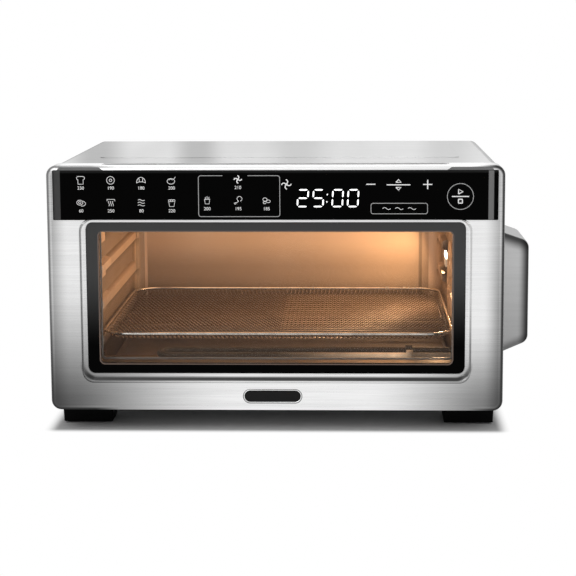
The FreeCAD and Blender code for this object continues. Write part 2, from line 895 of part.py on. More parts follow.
def handle_cup():
    """The channel behind the top lip that the fingers pull on."""
    cup = body("handle_cup")
    half = "cupWidth / 2 - cupFit"
    pad(cup, "block", "xy", "cupFloor", "doorTop - cupSet", lambda s: rectangle(
        s, mirrored(half), ("cupFront + cupFit", "cupBack")))
    pocket(cup, "channel", "xy", "doorTop", "cupFloor + cupWall", lambda s: rounded(
        s, mirrored(half + " - cupWall"), ("cupFront + cupFit + cupWall", "cupBack - cupWall"),
        "cupCorner"))
    node("handle_cup", cup)


def window():
    """Outer glass, seal, steel frame and inner glass."""
    clear = (mirrored("clearWidth / 2"), ("clearBottom", "clearTop"))
    outer = body("outer_window_glass")
    pad(outer, "sheet", "xz", "windowSet", "glassBack", lambda s: rounded(
        s, mirrored("glassWidth / 2"), ("glassBottom", "glassTop"), "glassCorner"))
    node("outer_window_glass", outer)

    rim = (mirrored("grooveWidth / 2"), ("footHeight + grooveLow", "panelLow - sealGap"))

    def band(sketch):
        rounded(sketch, *rim, "glassCorner")
        rounded(sketch, *clear, "clearCorner")

    seal = body("window_seal")
    pad(seal, "band", "xz", "glassBack", "glassBack + sealWall", band)
    node("window_seal", seal)

    frame = body("window_frame")
    start = "glassBack + sealWall"
    pad(frame, "flange", "xz", start, start + " + frameWall", band)

    def sleeve(sketch):
        grown = (mirrored("clearWidth / 2 + frameWall"),
                 ("clearBottom - frameWall", "clearTop + frameWall"))
        rounded(sketch, *grown, "clearCorner + frameWall")
        rounded(sketch, *clear, "clearCorner")

    pad(frame, "sleeve", "xz", start + " + frameWall", "innerGlassFront", sleeve)
    node("window_frame", frame)

    inner = body("inner_window_glass")
    pad(inner, "sheet", "xz", "innerGlassFront", "panelInner", lambda s: rounded(
        s, mirrored("clearWidth / 2 + innerGlassLap"),
        ("clearBottom - innerGlassLap", "clearTop + innerGlassLap"), "innerGlassCorner"))
    node("inner_window_glass", inner)


HINGE_SCREWS = [(f"{side} * hingeX", "hingeZ + hingeScrew") for side in (-1, 1)]
LUG_SCREWS = [(f"{side} * (innerHalf - lugScrew)", height) for side in (-1, 1)
              for height in ("footHeight + lugLow", "footHeight + lugHigh")]


def inner_panel():
    """The steel plate that closes the door towards the cavity."""
    plate = body("door_inner_panel")
    pad(plate, "plate", "xz", "panelInner", "doorDepth", lambda s: rounded(
        s, mirrored("innerHalf - innerPanelFit"),
        ("footHeight + doorSkin + innerPanelFit", "doorTop - doorSkin - innerPanelFit"),
        "doorCorner - doorSkin"))
    through(plate, "opening", "xz", "panelInner", "doorDepth", lambda s: rounded(
        s, mirrored("clearWidth / 2 - innerPanelLap"),
        ("clearBottom + innerPanelLap", "clearTop - innerPanelLap"), "clearCorner"))

    def holes(sketch):
        for u, v in HINGE_SCREWS + LUG_SCREWS:
            ring(sketch, u, v, "panelScrew + screwFit")

    through(plate, "holes", "xz", "panelInner", "doorDepth", holes)
    for side in (-1, 1):
        through(plate, "notch" + ("_left" if side < 0 else "_right"), "xz", "panelInner",
                "doorDepth", lambda s: rectangle(
                    s, (f"{side} * hingeX - notchHalf", f"{side} * hingeX + notchHalf"),
                    ("footHeight", "hingeZ + hingeNose + hingeClear")))
    node("door_inner_panel", plate)
    pieces = []
    for number, centre in enumerate(HINGE_SCREWS + LUG_SCREWS):
        pieces.append(rod(f"panel_head{number}", "y", "doorDepth", "doorDepth + panelHeadHeight",
                          centre, "panelScrewHead"))
        pieces.append(rod(f"panel_shank{number}", "y", "doorDepth - panelScrewLength", "doorDepth",
                          centre, "panelScrew"))
    node("inner_panel_screws", fuse("inner_panel_screws", pieces))


def hinges():
    """On each side a fixed tab on the base, two ears in the door and the pin through them."""
    for side, word in ((-1, "left"), (1, "right")):
        middle = f"{side} * hingeX"
        half = "hingeTab / 2"
        bracket = body("hinge_bracket_" + word)
        reach = "hingeY + hingeLength"
        top = "hingeZ + hingeNose"
        low = "hingeZ - hingeNose"
        pad(bracket, "tab", "yz", f"{middle} - {half}", f"{middle} + {half}", lambda s: outline(
            s, [("hingeY", low), ("bodyFront - bracketSet", low), ("bodyFront - bracketSet", "baseTop"),
                (reach, "baseTop"), (reach, top), ("hingeY", top),
                ("hingeY - hingeNose", "hingeZ")], {5: "hingeNose", 6: "hingeNose"}))
        pad(bracket, "foot", "xy", "baseTop", "baseTop + bracketWall", lambda s: rectangle(
            s, (f"{side} * (hingeX - {half} - bracketFoot)", f"{side} * (hingeX + {half})"),
            (reach + " - bracketFootLength", reach)))
        through(bracket, "bore", "yz", f"{middle} - {half}", f"{middle} + {half}",
                lambda s: ring(s, "hingeY", "hingeZ", "hingePin + pinFit"))
        through(bracket, "screw_hole", "xy", "baseTop", "baseTop + bracketWall",
                lambda s: ring(s, *bracket_screw(side), "screwRadius + screwFit"))
        node("hinge_bracket_" + word, bracket)

        leaf = body("door_hinge_" + word)
        leaf_top = "hingeZ + leafHeight"
        for ear, sign in (("inner", "-"), ("outer", "+")):
            pad(leaf, ear + "_ear", "yz", f"{middle} {sign} notchHalf",
                f"{middle} {sign} earFar", lambda s: outline(
                    s, [("hingeY", "hingeZ - hingeEarNose"),
                        ("hingeY + hingeEarNose", "hingeZ"), ("panelInner", "hingeZ + leafRoot"),
                        ("panelInner", leaf_top), ("hingeY - hingeEarNose", leaf_top),
                        ("hingeY - hingeEarNose", "hingeZ")],
                    {0: "hingeEarNose", 5: "hingeEarNose"}))
        pad(leaf, "web", "xz", "panelInner - leafWall", "panelInner", lambda s: rectangle(
            s, (f"{middle} - earFar", f"{middle} + earFar"), ("hingeZ + leafRoot", leaf_top)))
        through(leaf, "bore", "yz", f"{middle} - earFar", f"{middle} + earFar",
                lambda s: ring(s, "hingeY", "hingeZ", "hingePin"))
        through(leaf, "screw_hole", "xz", "panelInner - leafWall", "panelInner", lambda s: ring(
            s, middle, "hingeZ + hingeScrew", "panelScrew"))
        node("door_hinge_" + word, leaf)
        node("hinge_pin_" + word, rod("hinge_pin_" + word, "x", f"{middle} - earFar",
                                      f"{middle} + earFar", ("hingeY", "hingeZ"), "hingePin"))


# Body

def outer_wrap():
    """Top and sides in one brushed sheet, with a rounded back flange and a pressed top."""
    wrap = body("outer_wrap")
    pad(wrap, "block", "xz", "bodyFront", "wrapBack", lambda s: rectangle(
        s, mirrored("halfBody"), ("bodyBottom", "bodyTop")))

    def rim(top, back, half):
        """The two long top edges, the rear top edge and the two upright rear edges."""

        def wanted(b):
            on_top = flat_at(b.ZMin, b.ZMax, top)
            on_back = flat_at(b.YMin, b.YMax, back)
            on_side = b.XLength < 0.01 and near(abs(b.XMin), half)
            return on_top + on_back + on_side == 2
        return wanted

    pocket(wrap, "inside", "xz", "bodyFront", "wrapBack - wrapWall", lambda s: rectangle(
        s, mirrored("wrapInner"), (f"bodyBottom - {PAST}", "bodyTop - wrapWall")))
    fillet(wrap, "inner_bend", "bodyCorner - wrapWall",
           rim("bodyTop - wrapWall", "wrapBack - wrapWall", "wrapInner"))
    fillet(wrap, "outer_bend", "bodyCorner", rim("bodyTop", "wrapBack", "halfBody"))
    through(wrap, "back_opening", "xz", "wrapBack - wrapWall", "wrapBack",
            lambda s: rectangle(s, mirrored("halfBody - rearFlange"),
                                (f"bodyBottom - {PAST}", "bodyTop - rearFlange")))
    pad(wrap, "emboss", "xy", "bodyTop", "bodyTop + embossHeight", lambda s: rounded(
        s, mirrored("embossHalf"), ("embossFront", "embossBack"), "embossCorner"))
    chamfer(wrap, "emboss_edge", "embossHeight * 0.9",
            lambda b: flat_at(b.ZMin, b.ZMax, "bodyTop + embossHeight"))
    through(wrap, "motor_opening", "yz", "wrapInner", "halfBody", lambda s: rounded(
        s, ("coverFront + openingInset", "coverBack - openingInset"),
        ("coverLowRoot + openingInset", "coverTopRoot - openingInset"), "openingCorner"))
    through(wrap, "cover_screw_holes", "yz", "wrapInner", "halfBody", cover_screw_holes)
    through(wrap, "rear_screw_holes", "xz", "wrapBack - wrapWall", "wrapBack", rear_screw_holes)
    slot_row(wrap, "left", "yz", ("-wrapInner", "-halfBody"), "sideSlotY",
             "bodyTop - sideSlotDrop", COUNTS["sideSlots"])
    node("outer_wrap", wrap)


def base_plate():
    """The bottom pan with side flanges, air slots and foot screw holes."""
    base = body("base_plate")
    back, bend = "wrapBack - wrapWall", "(bodyCorner - wrapWall)"
    pad(base, "floor", "xy", "bodyBottom", "baseTop", lambda s: outline(
        s, [("-wrapInner", "bodyFront"), ("wrapInner", "bodyFront"),
            ("wrapInner", f"{back} - {bend}"), (f"wrapInner - {bend}", back),
            (f"{bend} - wrapInner", back), ("-wrapInner", f"{back} - {bend}")],
        {2: bend, 4: bend}))
    for side in (-1, 1):
        pad(base, "flange" + ("_left" if side < 0 else "_right"), "xy", "baseTop",
            "baseTop + baseFlange", lambda s: rectangle(
                s, (f"{side} * (wrapInner - baseWall)", f"{side} * wrapInner"),
                ("bodyFront + flangeFront", f"{back} - {bend}")))
    slot_row(base, "air", "xy", ("bodyBottom", "baseTop"), "0", "baseSlotY", COUNTS["baseSlots"])

    def holes(sketch):
        for u, v in foot_places() + BRACKET_SCREWS:
            ring(sketch, u, v, "screwRadius + screwFit")

    through(base, "screw_holes", "xy", "bodyBottom", "baseTop", holes)
    node("base_plate", base)


def foot_places():
    front = "footFrontY + footDepth / 2"
    rear = "wrapBack - footRearGap - footDepth / 2"
    return [(f"{side} * footCentreX", y) for side in (-1, 1) for y in (front, rear)]


def bracket_screw(side):
    return (f"{side} * (hingeX - hingeTab / 2 - bracketFoot / 2)",
            "hingeY + hingeLength - bracketFootLength / 2")


BRACKET_SCREWS = [bracket_screw(side) for side in (-1, 1)]
REAR_SCREWS = [(f"{side} * (halfBody - rearFlange + flangeScrew)", height) for side in (-1, 1)
               for height in ("bodyBottom + rearScrewLow", "bodyBottom + rearScrewHigh")]
REAR_SCREWS += [(f"{side} * (halfBody - rearScrewSide)", "bodyTop - rearFlange + flangeScrew")
                for side in (-1, 0, 1)]


def rear_screw_holes(sketch):
    for u, v in REAR_SCREWS:
        ring(sketch, u, v, "screwRadius + screwFit")


def rear_panel():
    """The plate on the back flange, with two rows of air slots and the cord's hole."""
    panel = body("rear_panel")
    pad(panel, "plate", "xz", "wrapBack", "bodyDepth", lambda s: rounded(
        s, mirrored("halfBody - rearPanelInset"),
        ("bodyBottom + rearPanelLow", "bodyTop - rearPanelInset"), "rearPanelCorner"))
    wall = ("wrapBack", "bodyDepth")
    for name, height in (("upper", "bodyTop - upperSlotDrop"),
                         ("lower", "bodyBottom + lowerSlotRise")):
        slot_row(panel, name, "xz", wall, "0", height, COUNTS[name + "Slots"])
    through(panel, "screw_holes", "xz", *wall, rear_screw_holes)
    through(panel, "cord_hole", "xz", *wall, lambda s: ring(
        s, "glandX", "glandZ", "glandRadius + screwFit"))
    node("rear_panel", panel)


def front_bulkhead():
    """The frame that the cavity opens through."""
    frame = body("front_bulkhead")

    def plate(sketch):
        rounded(sketch, mirrored("wrapInner"), ("baseTop", "bodyTop - wrapWall"),
                "bodyCorner - wrapWall")
        rounded(sketch, mirrored("halfCavity"), ("cavityFloor", "cavityTop"), "cavityCorner")

    pad(frame, "plate", "xz", "bodyFront", "linerFront", plate)
    for side in (-1, 1):
        through(frame, "notch" + ("_left" if side < 0 else "_right"), "xz", "bodyFront",
                "linerFront", lambda s: rectangle(
                    s, (f"{side} * hingeX - notchHalf", f"{side} * hingeX + notchHalf"),
                    (f"baseTop - {PAST}", "hingeZ + hingeNose + hingeClear")))
    node("front_bulkhead", frame)
    bumpers = [rod(f"bumper{number}", "y", "doorDepth + seatGap", "bodyFront", (x, z),
                   "bumperRadius")
               for number, (x, z) in enumerate(
                   [(f"{side} * (halfBody - bumperSide)", z) for side in (-1, 1)
                    for z in ("cavityFloor + bumperLow", "cavityTop - bumperHigh")])]
    node("door_bumpers", fuse("door_bumpers", bumpers))


def motor_cover():
    """The satin cover over the fan motor, hollow and open towards the wrap."""
    cover = body("fan_motor_cover")
    pad(cover, "block", "xz", "coverFront", "coverBack", lambda s: outline(
        s, [("halfBody", "coverLowRoot"), ("coverOuter", "coverLowOuter"),
            ("coverOuter", "coverTopOuter"), ("halfBody", "coverTopRoot")]))
    mouth = f"halfBody - {PAST}"
    pocket(cover, "hollow", "xz", "coverFront + coverWall", "coverBack - coverWall",
           lambda s: outline(s, [(mouth, f"coverLowRoot + coverWall * {SLANT}"),
                                 ("coverInside", f"coverLowOuter + coverWall * {SLANT}"),
                                 ("coverInside", f"coverTopOuter - coverWall * {SLANT}"),
                                 (mouth, f"coverTopRoot - coverWall * {SLANT}")]))
    fillet(cover, "inside_corners", "coverCorner - coverWall", lambda b: flat_at(
        b.XMin, b.XMax, "coverInside") and b.YLength > value("coverDepth - 2 * coverWall") - 1)
    fillet(cover, "corners", "coverCorner", lambda b: flat_at(b.XMin, b.XMax, "coverOuter")
           and b.YLength > value("coverDepth") - 1)
    fillet(cover, "rims", "coverEdge", lambda b: b.XMax > value("halfBody") + 0.1
           and (flat_at(b.YMin, b.YMax, "coverFront") or flat_at(b.YMin, b.YMax, "coverBack")))
    pad(cover, "ear", "yz", "halfBody", "halfBody + coverWall", lambda s: rounded(
        s, ("coverBack - coverWall", "coverBack + earReach"),
        ("fanZ - earHeight / 2", "fanZ + earHeight / 2"), "earCorner"))
    through(cover, "ear_holes", "yz", "halfBody", "halfBody + coverWall", cover_screw_holes)
    count = COUNTS["coverSlots"]
    first = f"fanZ - {count - 1} * slotPitch / 2"
    slot = through(cover, "slot", "xz", "coverBack - coverWall", "coverBack", lambda s: pill(
        s, ("halfBody + coverSlotInner", "coverOuter - coverSlotOuter"),
        (first, first + " + slotWidth"), "slotWidth"))
    row_of(cover, "slots", slot, "V_Axis", "slotPitch", count)
    node("fan_motor_cover", cover)


COVER_SCREWS = [("coverBack + earScrew", f"fanZ {sign} earScrewRise") for sign in "-+"]


def cover_screw_holes(sketch):
    for u, v in COVER_SCREWS:
        ring(sketch, u, v, "screwRadius + screwFit")


def feet():
    """Four tapered block feet, their rubber pads and their screws."""
    words = ("front_left", "rear_left", "front_right", "rear_right")
    pads = []
    for word, (x, y) in zip(words, foot_places()):
        foot = body("foot_" + word)
        pad(foot, "block", "xy", "bodyBottom", "footPad", lambda s: rounded(
            s, (f"{x} - footWidth / 2", f"{x} + footWidth / 2"),
            (f"{y} - footDepth / 2", f"{y} + footDepth / 2"), "footCorner"), taper="-footTaper")
        pocket(foot, "recess", "xy", f"footPad - {PAST}", "bodyBottom - footBridge",
               lambda s: ring(s, x, y, "screwHead + headFit"))
        through(foot, "hole", "xy", "bodyBottom - footBridge", "bodyBottom", lambda s: ring(
            s, x, y, "screwRadius + screwFit"))
        node("foot_" + word, foot)
        disc = rod("pad_disc_" + word, "z", "0", "footPad", (x, y), "footPadRadius")
        hole = rod("pad_hole_" + word, "z", f"-{PAST}", f"footPad + {PAST}", (x, y),
                   "screwHead + headFit")
        pads.append(cut("pad_" + word, disc, hole))
    node("foot_pads", fuse("foot_pads", pads))


def fasteners():
    seat = "bodyBottom - footBridge"
    screws("foot_screws", foot_places(), "z", seat + " - headHeight", seat, "baseTop + screwTip")
    screws("base_screws", BRACKET_SCREWS, "z", "bodyBottom - headHeight", "bodyBottom",
           "baseTop + bracketWall + screwTip")
    screws("rear_panel_screws", REAR_SCREWS, "y", "bodyDepth", "bodyDepth + headHeight",
           "wrapBack - wrapWall - screwTip")
    screws("cover_screws", COVER_SCREWS, "x", "halfBody + coverWall",
           "halfBody + coverWall + headHeight", "wrapInner - screwTip")


# Cavity

def cavity_shell():
    """Top, back and floor of the cavity, bent from one sheet."""
    shell = body("cavity_shell")
    pad(shell, "block", "yz", "-halfCavity", "halfCavity", lambda s: rectangle(
        s, ("linerFront", "cavityBack + linerWall"),
        ("cavityFloor - linerWall", "cavityTop + linerWall")))
    through(shell, "inside", "yz", "-halfCavity", "halfCavity", lambda s: rectangle(
        s, (f"linerFront - {PAST}", "cavityBack"), ("cavityFloor", "cavityTop")))
    fillet(shell, "inner_bend", "linerBend", lambda b: b.XLength > 1
           and flat_at(b.YMin, b.YMax, "cavityBack"))
    fillet(shell, "outer_bend", "linerBend + linerWall", lambda b: b.XLength > 1
           and flat_at(b.YMin, b.YMax, "cavityBack + linerWall"))
    node("cavity_shell", shell)


def cavity_wall(word, side, spans):
    """A side wall with pressed rack guides and a rounded back corner."""
    wall = body(word + "_cavity_wall")
    face = f"{side} * halfCavity"
    outside = f"{side} * linerOuter"
    pad(wall, "sheet", "yz", face, outside, lambda s: rectangle(
        s, ("linerFront", "cavityBack + linerWall"),
        ("cavityFloor - linerWall", "cavityTop + linerWall")))
    pad(wall, "cove", "xy", "cavityFloor + linerBend", "cavityTop - linerBend",
        lambda s: outline(s, [(face, "cavityBack"), (f"{side} * (halfCavity - coveRadius)",
                                                     "cavityBack"),
                              (face, "cavityBack - coveRadius")],
                          {1: "-coveRadius" if side > 0 else "coveRadius"}))
    pressed = []
    for number, (front, rear) in enumerate(spans):
        low = "guideTop - guideHeight"
        pressed.append(pad(wall, f"guide{number}", "yz", face,
                           f"{side} * (halfCavity - guideReach)", lambda s: rectangle(
                               s, (front, rear), (low, "guideTop")), taper="-guideTaper"))
        pressed.append(pocket(wall, f"dent{number}", "yz", outside,
                              f"{side} * (halfCavity - guideReach + linerWall)",
                              lambda s: rectangle(s, (f"{front} + linerWall", f"{rear} - linerWall"),
                                                  (f"{low} + linerWall", "guideTop - linerWall")),
                              taper="-guideTaper"))
    row_of(wall, "guides", pressed, "V_Axis", "guidePitch", COUNTS["rackGuides"])
    return wall


def leg_places():
    return [(leg, height) for height in ("lowerTubeHeight", "upperTubeHeight")
            for leg in ("frontLeg", "frontLeg + legSpacing", "rearLeg", "rearLeg + legSpacing")]


def cavity_walls():
    node("left_cavity_wall", cavity_wall("left", -1, [("guideFront", "guideRear")]))
    right = cavity_wall("right", 1, [("guideFront", "guideSplitFront"),
                                     ("guideSplitRear", "guideRear")])

    def holes(sketch):
        ring(sketch, "fanY", "fanZ", "fanOpening")
        for u, v in leg_places():
            ring(sketch, u, v, "bushRadius + screwFit")
        ring(sketch, "sensorY", "sensorZ", "probeRadius + screwFit")
        rounded(sketch, ("lampY - lampWidth / 2", "lampY + lampWidth / 2"),
                ("lampZ - lampHeight / 2", "lampZ + lampHeight / 2"), "lampCorner")

    through(right, "holes", "yz", "halfCavity", "linerOuter", holes)
    node("right_cavity_wall", right)


def element(name, leg, height):
    """A U of sheathed tube whose legs leave through the right wall."""
    tube = body(name)
    start = "linerOuter + tubeEnd"
    bend = "-tubeLeft + legSpacing / 2"
    far = f"{leg} + legSpacing"
    path = sketch_on(tube, name + "_path", "xy", height)
    spots = [Vector(value(u), value(v), 0) for u, v in
             ((start, leg), (bend, leg), (bend, far), (start, far))]
    middle = Vector(value("-tubeLeft"), value(f"{leg} + legSpacing / 2"), 0)
    path.addGeometry(Part.LineSegment(spots[0], spots[1]), False)
    path.addGeometry(Part.Arc(spots[1], middle, spots[2]), False)
    path.addGeometry(Part.LineSegment(spots[2], spots[3]), False)
    arc_first = 1 if path.getPoint(1, 1).distanceToPoint(spots[1]) < 1e-6 else 2
    path.addConstraint(Sketcher.Constraint("Tangent", 0, 2, 1, arc_first))
    path.addConstraint(Sketcher.Constraint("Tangent", 1, 3 - arc_first, 2, 1))
    path.addConstraint(Sketcher.Constraint("Horizontal", 0))
    for geometry, point, u, v in ((0, 1, start, leg), (0, 2, bend, None), (2, 2, start, far)):
        spot = path.getPoint(geometry, point)
        bound(path, Sketcher.Constraint("DistanceX", -1, 1, geometry, point, spot.x), u)
        if v:
            bound(path, Sketcher.Constraint("DistanceY", -1, 1, geometry, point, spot.y), v)
    profile = sketch_on(tube, name + "_section", "yz", start)
    ring(profile, leg, height, "tubeRadius")
    pipe = tube.newObject("PartDesign::AdditivePipe", name + "_tube")
    pipe.Profile = profile
    pipe.Spine = (path, ["Edge1", "Edge2", "Edge3"])

    def collars(sketch):
        ring(sketch, leg, height, "collarRadius")
        ring(sketch, far, height, "collarRadius")

    pad(tube, "collars", "yz", "collarX", "collarX + collarLength", collars)
    node(name, tube)


def elements():
    element("lower_front_element", "frontLeg", "lowerTubeHeight")
    element("lower_rear_element", "rearLeg", "lowerTubeHeight")
    element("upper_front_element", "frontLeg", "upperTubeHeight")
    element("upper_rear_element", "rearLeg", "upperTubeHeight")
    straps = []
    for number, (leg, height, under) in enumerate(
            [(leg, height, under) for height, under in (("lowerTubeHeight", -1),
                                                        ("upperTubeHeight", 1))
             for leg in ("frontLeg", "rearLeg")]):
        middle = f"{leg} + legSpacing / 2"
        face = f"{height} + {under} * tubeRadius"
        span = (face, f"{face} + strapWall") if under > 0 else (f"{face} - strapWall", face)
        wide = (f"{middle} - strapWidth / 2", f"{middle} + strapWidth / 2")
        strap = box(f"strap{number}", ("-halfCavity", "-tubeLeft + strapReach"), wide, span)
        hook = box(f"hook{number}", ("-halfCavity", "-halfCavity + strapWall"), wide,
                   (f"{span[0]} - strapHook", f"{span[1]} + strapHook"))
        straps.append(fuse(f"support{number}", [strap, hook]))
    node("element_supports", fuse("element_supports", straps))
    bushes = []
    for number, centre in enumerate(leg_places()):
        start = "halfCavity - bushProud"
        outer = rod(f"bush{number}", "x", start, start + " + bushLength", centre, "bushRadius")
        hole = rod(f"bush_hole{number}", "x", f"{start} - {PAST}", f"{start} + bushLength + {PAST}",
                   centre, "tubeRadius")
        bushes.append(cut(f"bush_ring{number}", outer, hole))
    node("element_bushes", fuse("element_bushes", bushes))


def crumb_tray():
    """The removable pan on the cavity floor."""
    tray = body("crumb_tray")
    bottom = "cavityFloor + seatGap"
    front = "linerFront + trayFrontGap"
    pad(tray, "pan", "xy", bottom, bottom + " + trayDepth", lambda s: rounded(
        s, mirrored("halfCavity - trayInset"), (front, "trayBack"), "trayCorner"))
    pocket(tray, "inside", "xy", f"{bottom} + trayDepth + {PAST}", bottom + " + trayWall",
           lambda s: rounded(s, mirrored("halfCavity - trayInset - trayWall"),
                             (front + " + trayWall", "trayBack - trayWall"),
                             "trayCorner - trayWall"))
    pad(tray, "pull", "xy", bottom + " + trayDepth - trayWall", bottom + " + trayDepth",
        lambda s: rounded(s, mirrored("pullWidth / 2"),
                          ("doorDepth + pullGap", front + " + trayWall / 2"), "pullCorner"))
    node("crumb_tray", tray)


# Fan and motor

HUB = ("fanY", "fanZ")


def air_system():
    guard = body("fan_guard")
    face = "halfCavity - guardDepth"
    slope = "guardDepth - guardWall"
    spigot = "fanOpening - guardFit"
    turned(guard, "dish", "xz", ("0", "fanZ"), "fanY", lambda s: outline(
        s, [("halfCavity", "guardRadius"), ("halfCavity", spigot),
            (face + " + guardWall", "guardFace"), (face + " + guardWall", "0"),
            (face, "0"), (face, "guardFace + " + slope),
            ("halfCavity - guardWall", f"{spigot} + {slope}"),
            ("halfCavity - guardWall", "guardRadius")]))
    for name in ("inner", "outer"):
        slot = through(guard, name + "_slot", "yz", face, face + " + guardWall", lambda s: pill(
            s, mirrored("guardSlotWidth / 2"), (name + "SlotStart", name + "SlotEnd"),
            "guardSlotWidth"), origin=HUB)
        circle_of(guard, name + "_slots", slot, COUNTS[name + "GuardSlots"])
    node("fan_guard", guard)

    housing = body("fan_housing")
    inside = "housingRadius - housingWall"
    bore = "shaftRadius + shaftClear"
    turned(housing, "pan", "xz", ("0", "fanZ"), "fanY", lambda s: outline(
        s, [("linerOuter", "housingRadius + housingFlange"), ("linerOuter", inside),
            ("housingBack - housingWall", inside), ("housingBack - housingWall", bore),
            ("housingBack", bore), ("housingBack", "housingRadius"),
            ("linerOuter + housingWall", "housingRadius"),
            ("linerOuter + housingWall", "housingRadius + housingFlange")]))
    node("fan_housing", housing)

    wheel = body("fan_impeller")
    turned(wheel, "disc", "xz", ("0", "fanZ"), "fanY", lambda s: outline(
        s, [("discFace - hubLength", "shaftRadius"), ("discFace + hubBack", "shaftRadius"),
            ("discFace + hubBack", "hubRadius"), ("discFace + impellerDisc", "hubRadius"),
            ("discFace + impellerDisc", "impellerRadius"), ("discFace", "impellerRadius"),
            ("discFace", "hubRadius"), ("discFace - hubLength", "hubRadius")]))
    inner, outer = "hubRadius + bladeStart", "impellerRadius - bladeEnd"
    swept = "bladeRoot + bladeSweep"
    blade = pad(wheel, "blade", "yz", "discFace", "discFace - bladeDepth", lambda s: outline(
        s, [("bladeRoot", inner), ("bladeRoot + bladeWall", inner),
            (swept + " + bladeWall", outer), (swept, outer)],
        {1: "bladeCurve", 3: "-bladeCurve"}), origin=HUB)
    circle_of(wheel, "blades", blade, COUNTS["blades"])
    node("fan_impeller", wheel)
    node("fan_shaft", rod("fan_shaft", "x", "discFace - hubLength - shaftTip",
                          "coverInside - shaftEndGap", HUB, "shaftRadius"))

    cooler = body("cooling_fan")
    back = "coverInside - coolerGap"
    front = back + " - coolerDepth"
    pad(cooler, "hub", "yz", front, back, lambda s: (
        ring(s, "0", "0", "hubRadius"), ring(s, "0", "0", "shaftRadius")), origin=HUB)
    vane = pad(cooler, "vane", "yz", front + " + vaneInset", back + " - vaneInset",
               lambda s: rectangle(s, mirrored("bladeWall / 2"),
                                   ("(hubRadius + shaftRadius) / 2", "coolingFanRadius")),
               origin=HUB)
    circle_of(cooler, "vanes", vane, COUNTS["vanes"])
    node("cooling_fan", cooler)


def motor():
    block = body("fan_motor")
    pad(block, "core", "yz", "motorFront", "motorBack", lambda s: rounded(
        s, mirrored("motorWidth / 2"), mirrored("motorHeight / 2"), "coreCorner"), origin=HUB)
    front, back = "housingBack + bearingGap", "motorBack + backBearing"
    for name, low, high in (("front_bearing", front, "motorFront"),
                            ("back_bearing", "motorBack", back)):
        pad(block, name, "yz", low, high, lambda s: ring(s, "0", "0", "bearingRadius"), origin=HUB)
    pad(block, "coil", "yz", "motorFront + coilShift", "motorBack + coilShift", lambda s: rounded(
        s, mirrored("coilWidth / 2"), ("-motorHeight / 2 - coilDrop", "-motorHeight / 2 + coilSink"),
        "coilCorner"), origin=HUB)
    through(block, "bore", "yz", front, back, lambda s: ring(
        s, "0", "0", "shaftRadius + shaftFit"), origin=HUB)
    node("fan_motor", block)

    bracket = body("motor_bracket")
    face = "housingBack + bridgeWall"
    pad(bracket, "bridge", "yz", "housingBack", face, lambda s: rounded(
        s, mirrored("housingRadius - bridgeInset"), mirrored("bridgeHeight / 2"), "bridgeCorner"),
        origin=HUB)
    through(bracket, "clearance", "yz", "housingBack", face, lambda s: ring(
        s, "0", "0", "bearingRadius + bearingFit"), origin=HUB)
    for word, sign in (("front", "-"), ("rear", "")):
        pad(bracket, word + "_post", "yz", face, "motorFront", lambda s: ring(
            s, f"{sign}(motorWidth / 2 - postInset)", "0", "postRadius"), origin=HUB)
    node("motor_bracket", bracket)


# Electrics

def lamp():
    """The lens in the right wall, its holder and its bulb."""

    def grown(amount):
        """The lamp's opening, grown by an amount on each side."""
        return [(f"{place} - {size} / 2 - ({amount})", f"{place} + {size} / 2 + ({amount})")
                for place, size in (("lampY", "lampWidth"), ("lampZ", "lampHeight"))]

    start = "linerOuter + lensWall"
    end = start + " + holderDepth - holderEnd"
    lens = body("lamp_lens")
    pad(lens, "plate", "yz", "linerOuter", start, lambda s: rounded(
        s, *grown("lampFlange"), "lampFlangeCorner"))
    pad(lens, "window", "yz", "linerOuter", "halfCavity - lensProud", lambda s: rounded(
        s, *grown("-lampFit"), "lampCorner"))
    node("lamp_lens", lens)

    holder = body("lamp_holder")
    pad(holder, "case", "yz", start, start + " + holderDepth", lambda s: rounded(
        s, *grown("lampFlange"), "lampFlangeCorner"))
    pocket(holder, "chamber", "yz", start, end, lambda s: rounded(
        s, *grown("lampFlange - holderWall"), "lampFlangeCorner - holderWall"))
    node("lamp_holder", holder)

    bulb = body("lamp_bulb")
    tip = start + " + bulbGap"
    neck = end + " - bulbBaseLength"
    turned(bulb, "capsule", "xz", ("0", "lampZ"), "lampY", lambda s: outline(
        s, [(tip, "0"), (end, "0"), (end, "bulbBase"), (neck, "bulbBase"), (neck, "bulbRadius"),
            (tip + " + bulbRadius", "bulbRadius")], {5: "bulbRadius"}))
    node("lamp_bulb", bulb)


# Parts on the power board: left, right, front and rear from its corner, and height.
BOARD_PARTS = {
    "relay": (12, 34, 14, 34, 11),
    "filter": (44, 70, 10, 36, 13),
    "heat_sink": (20, 80, 60, 66, 15),
    "capacitor": (84, 98, 84, 98, 12),
}


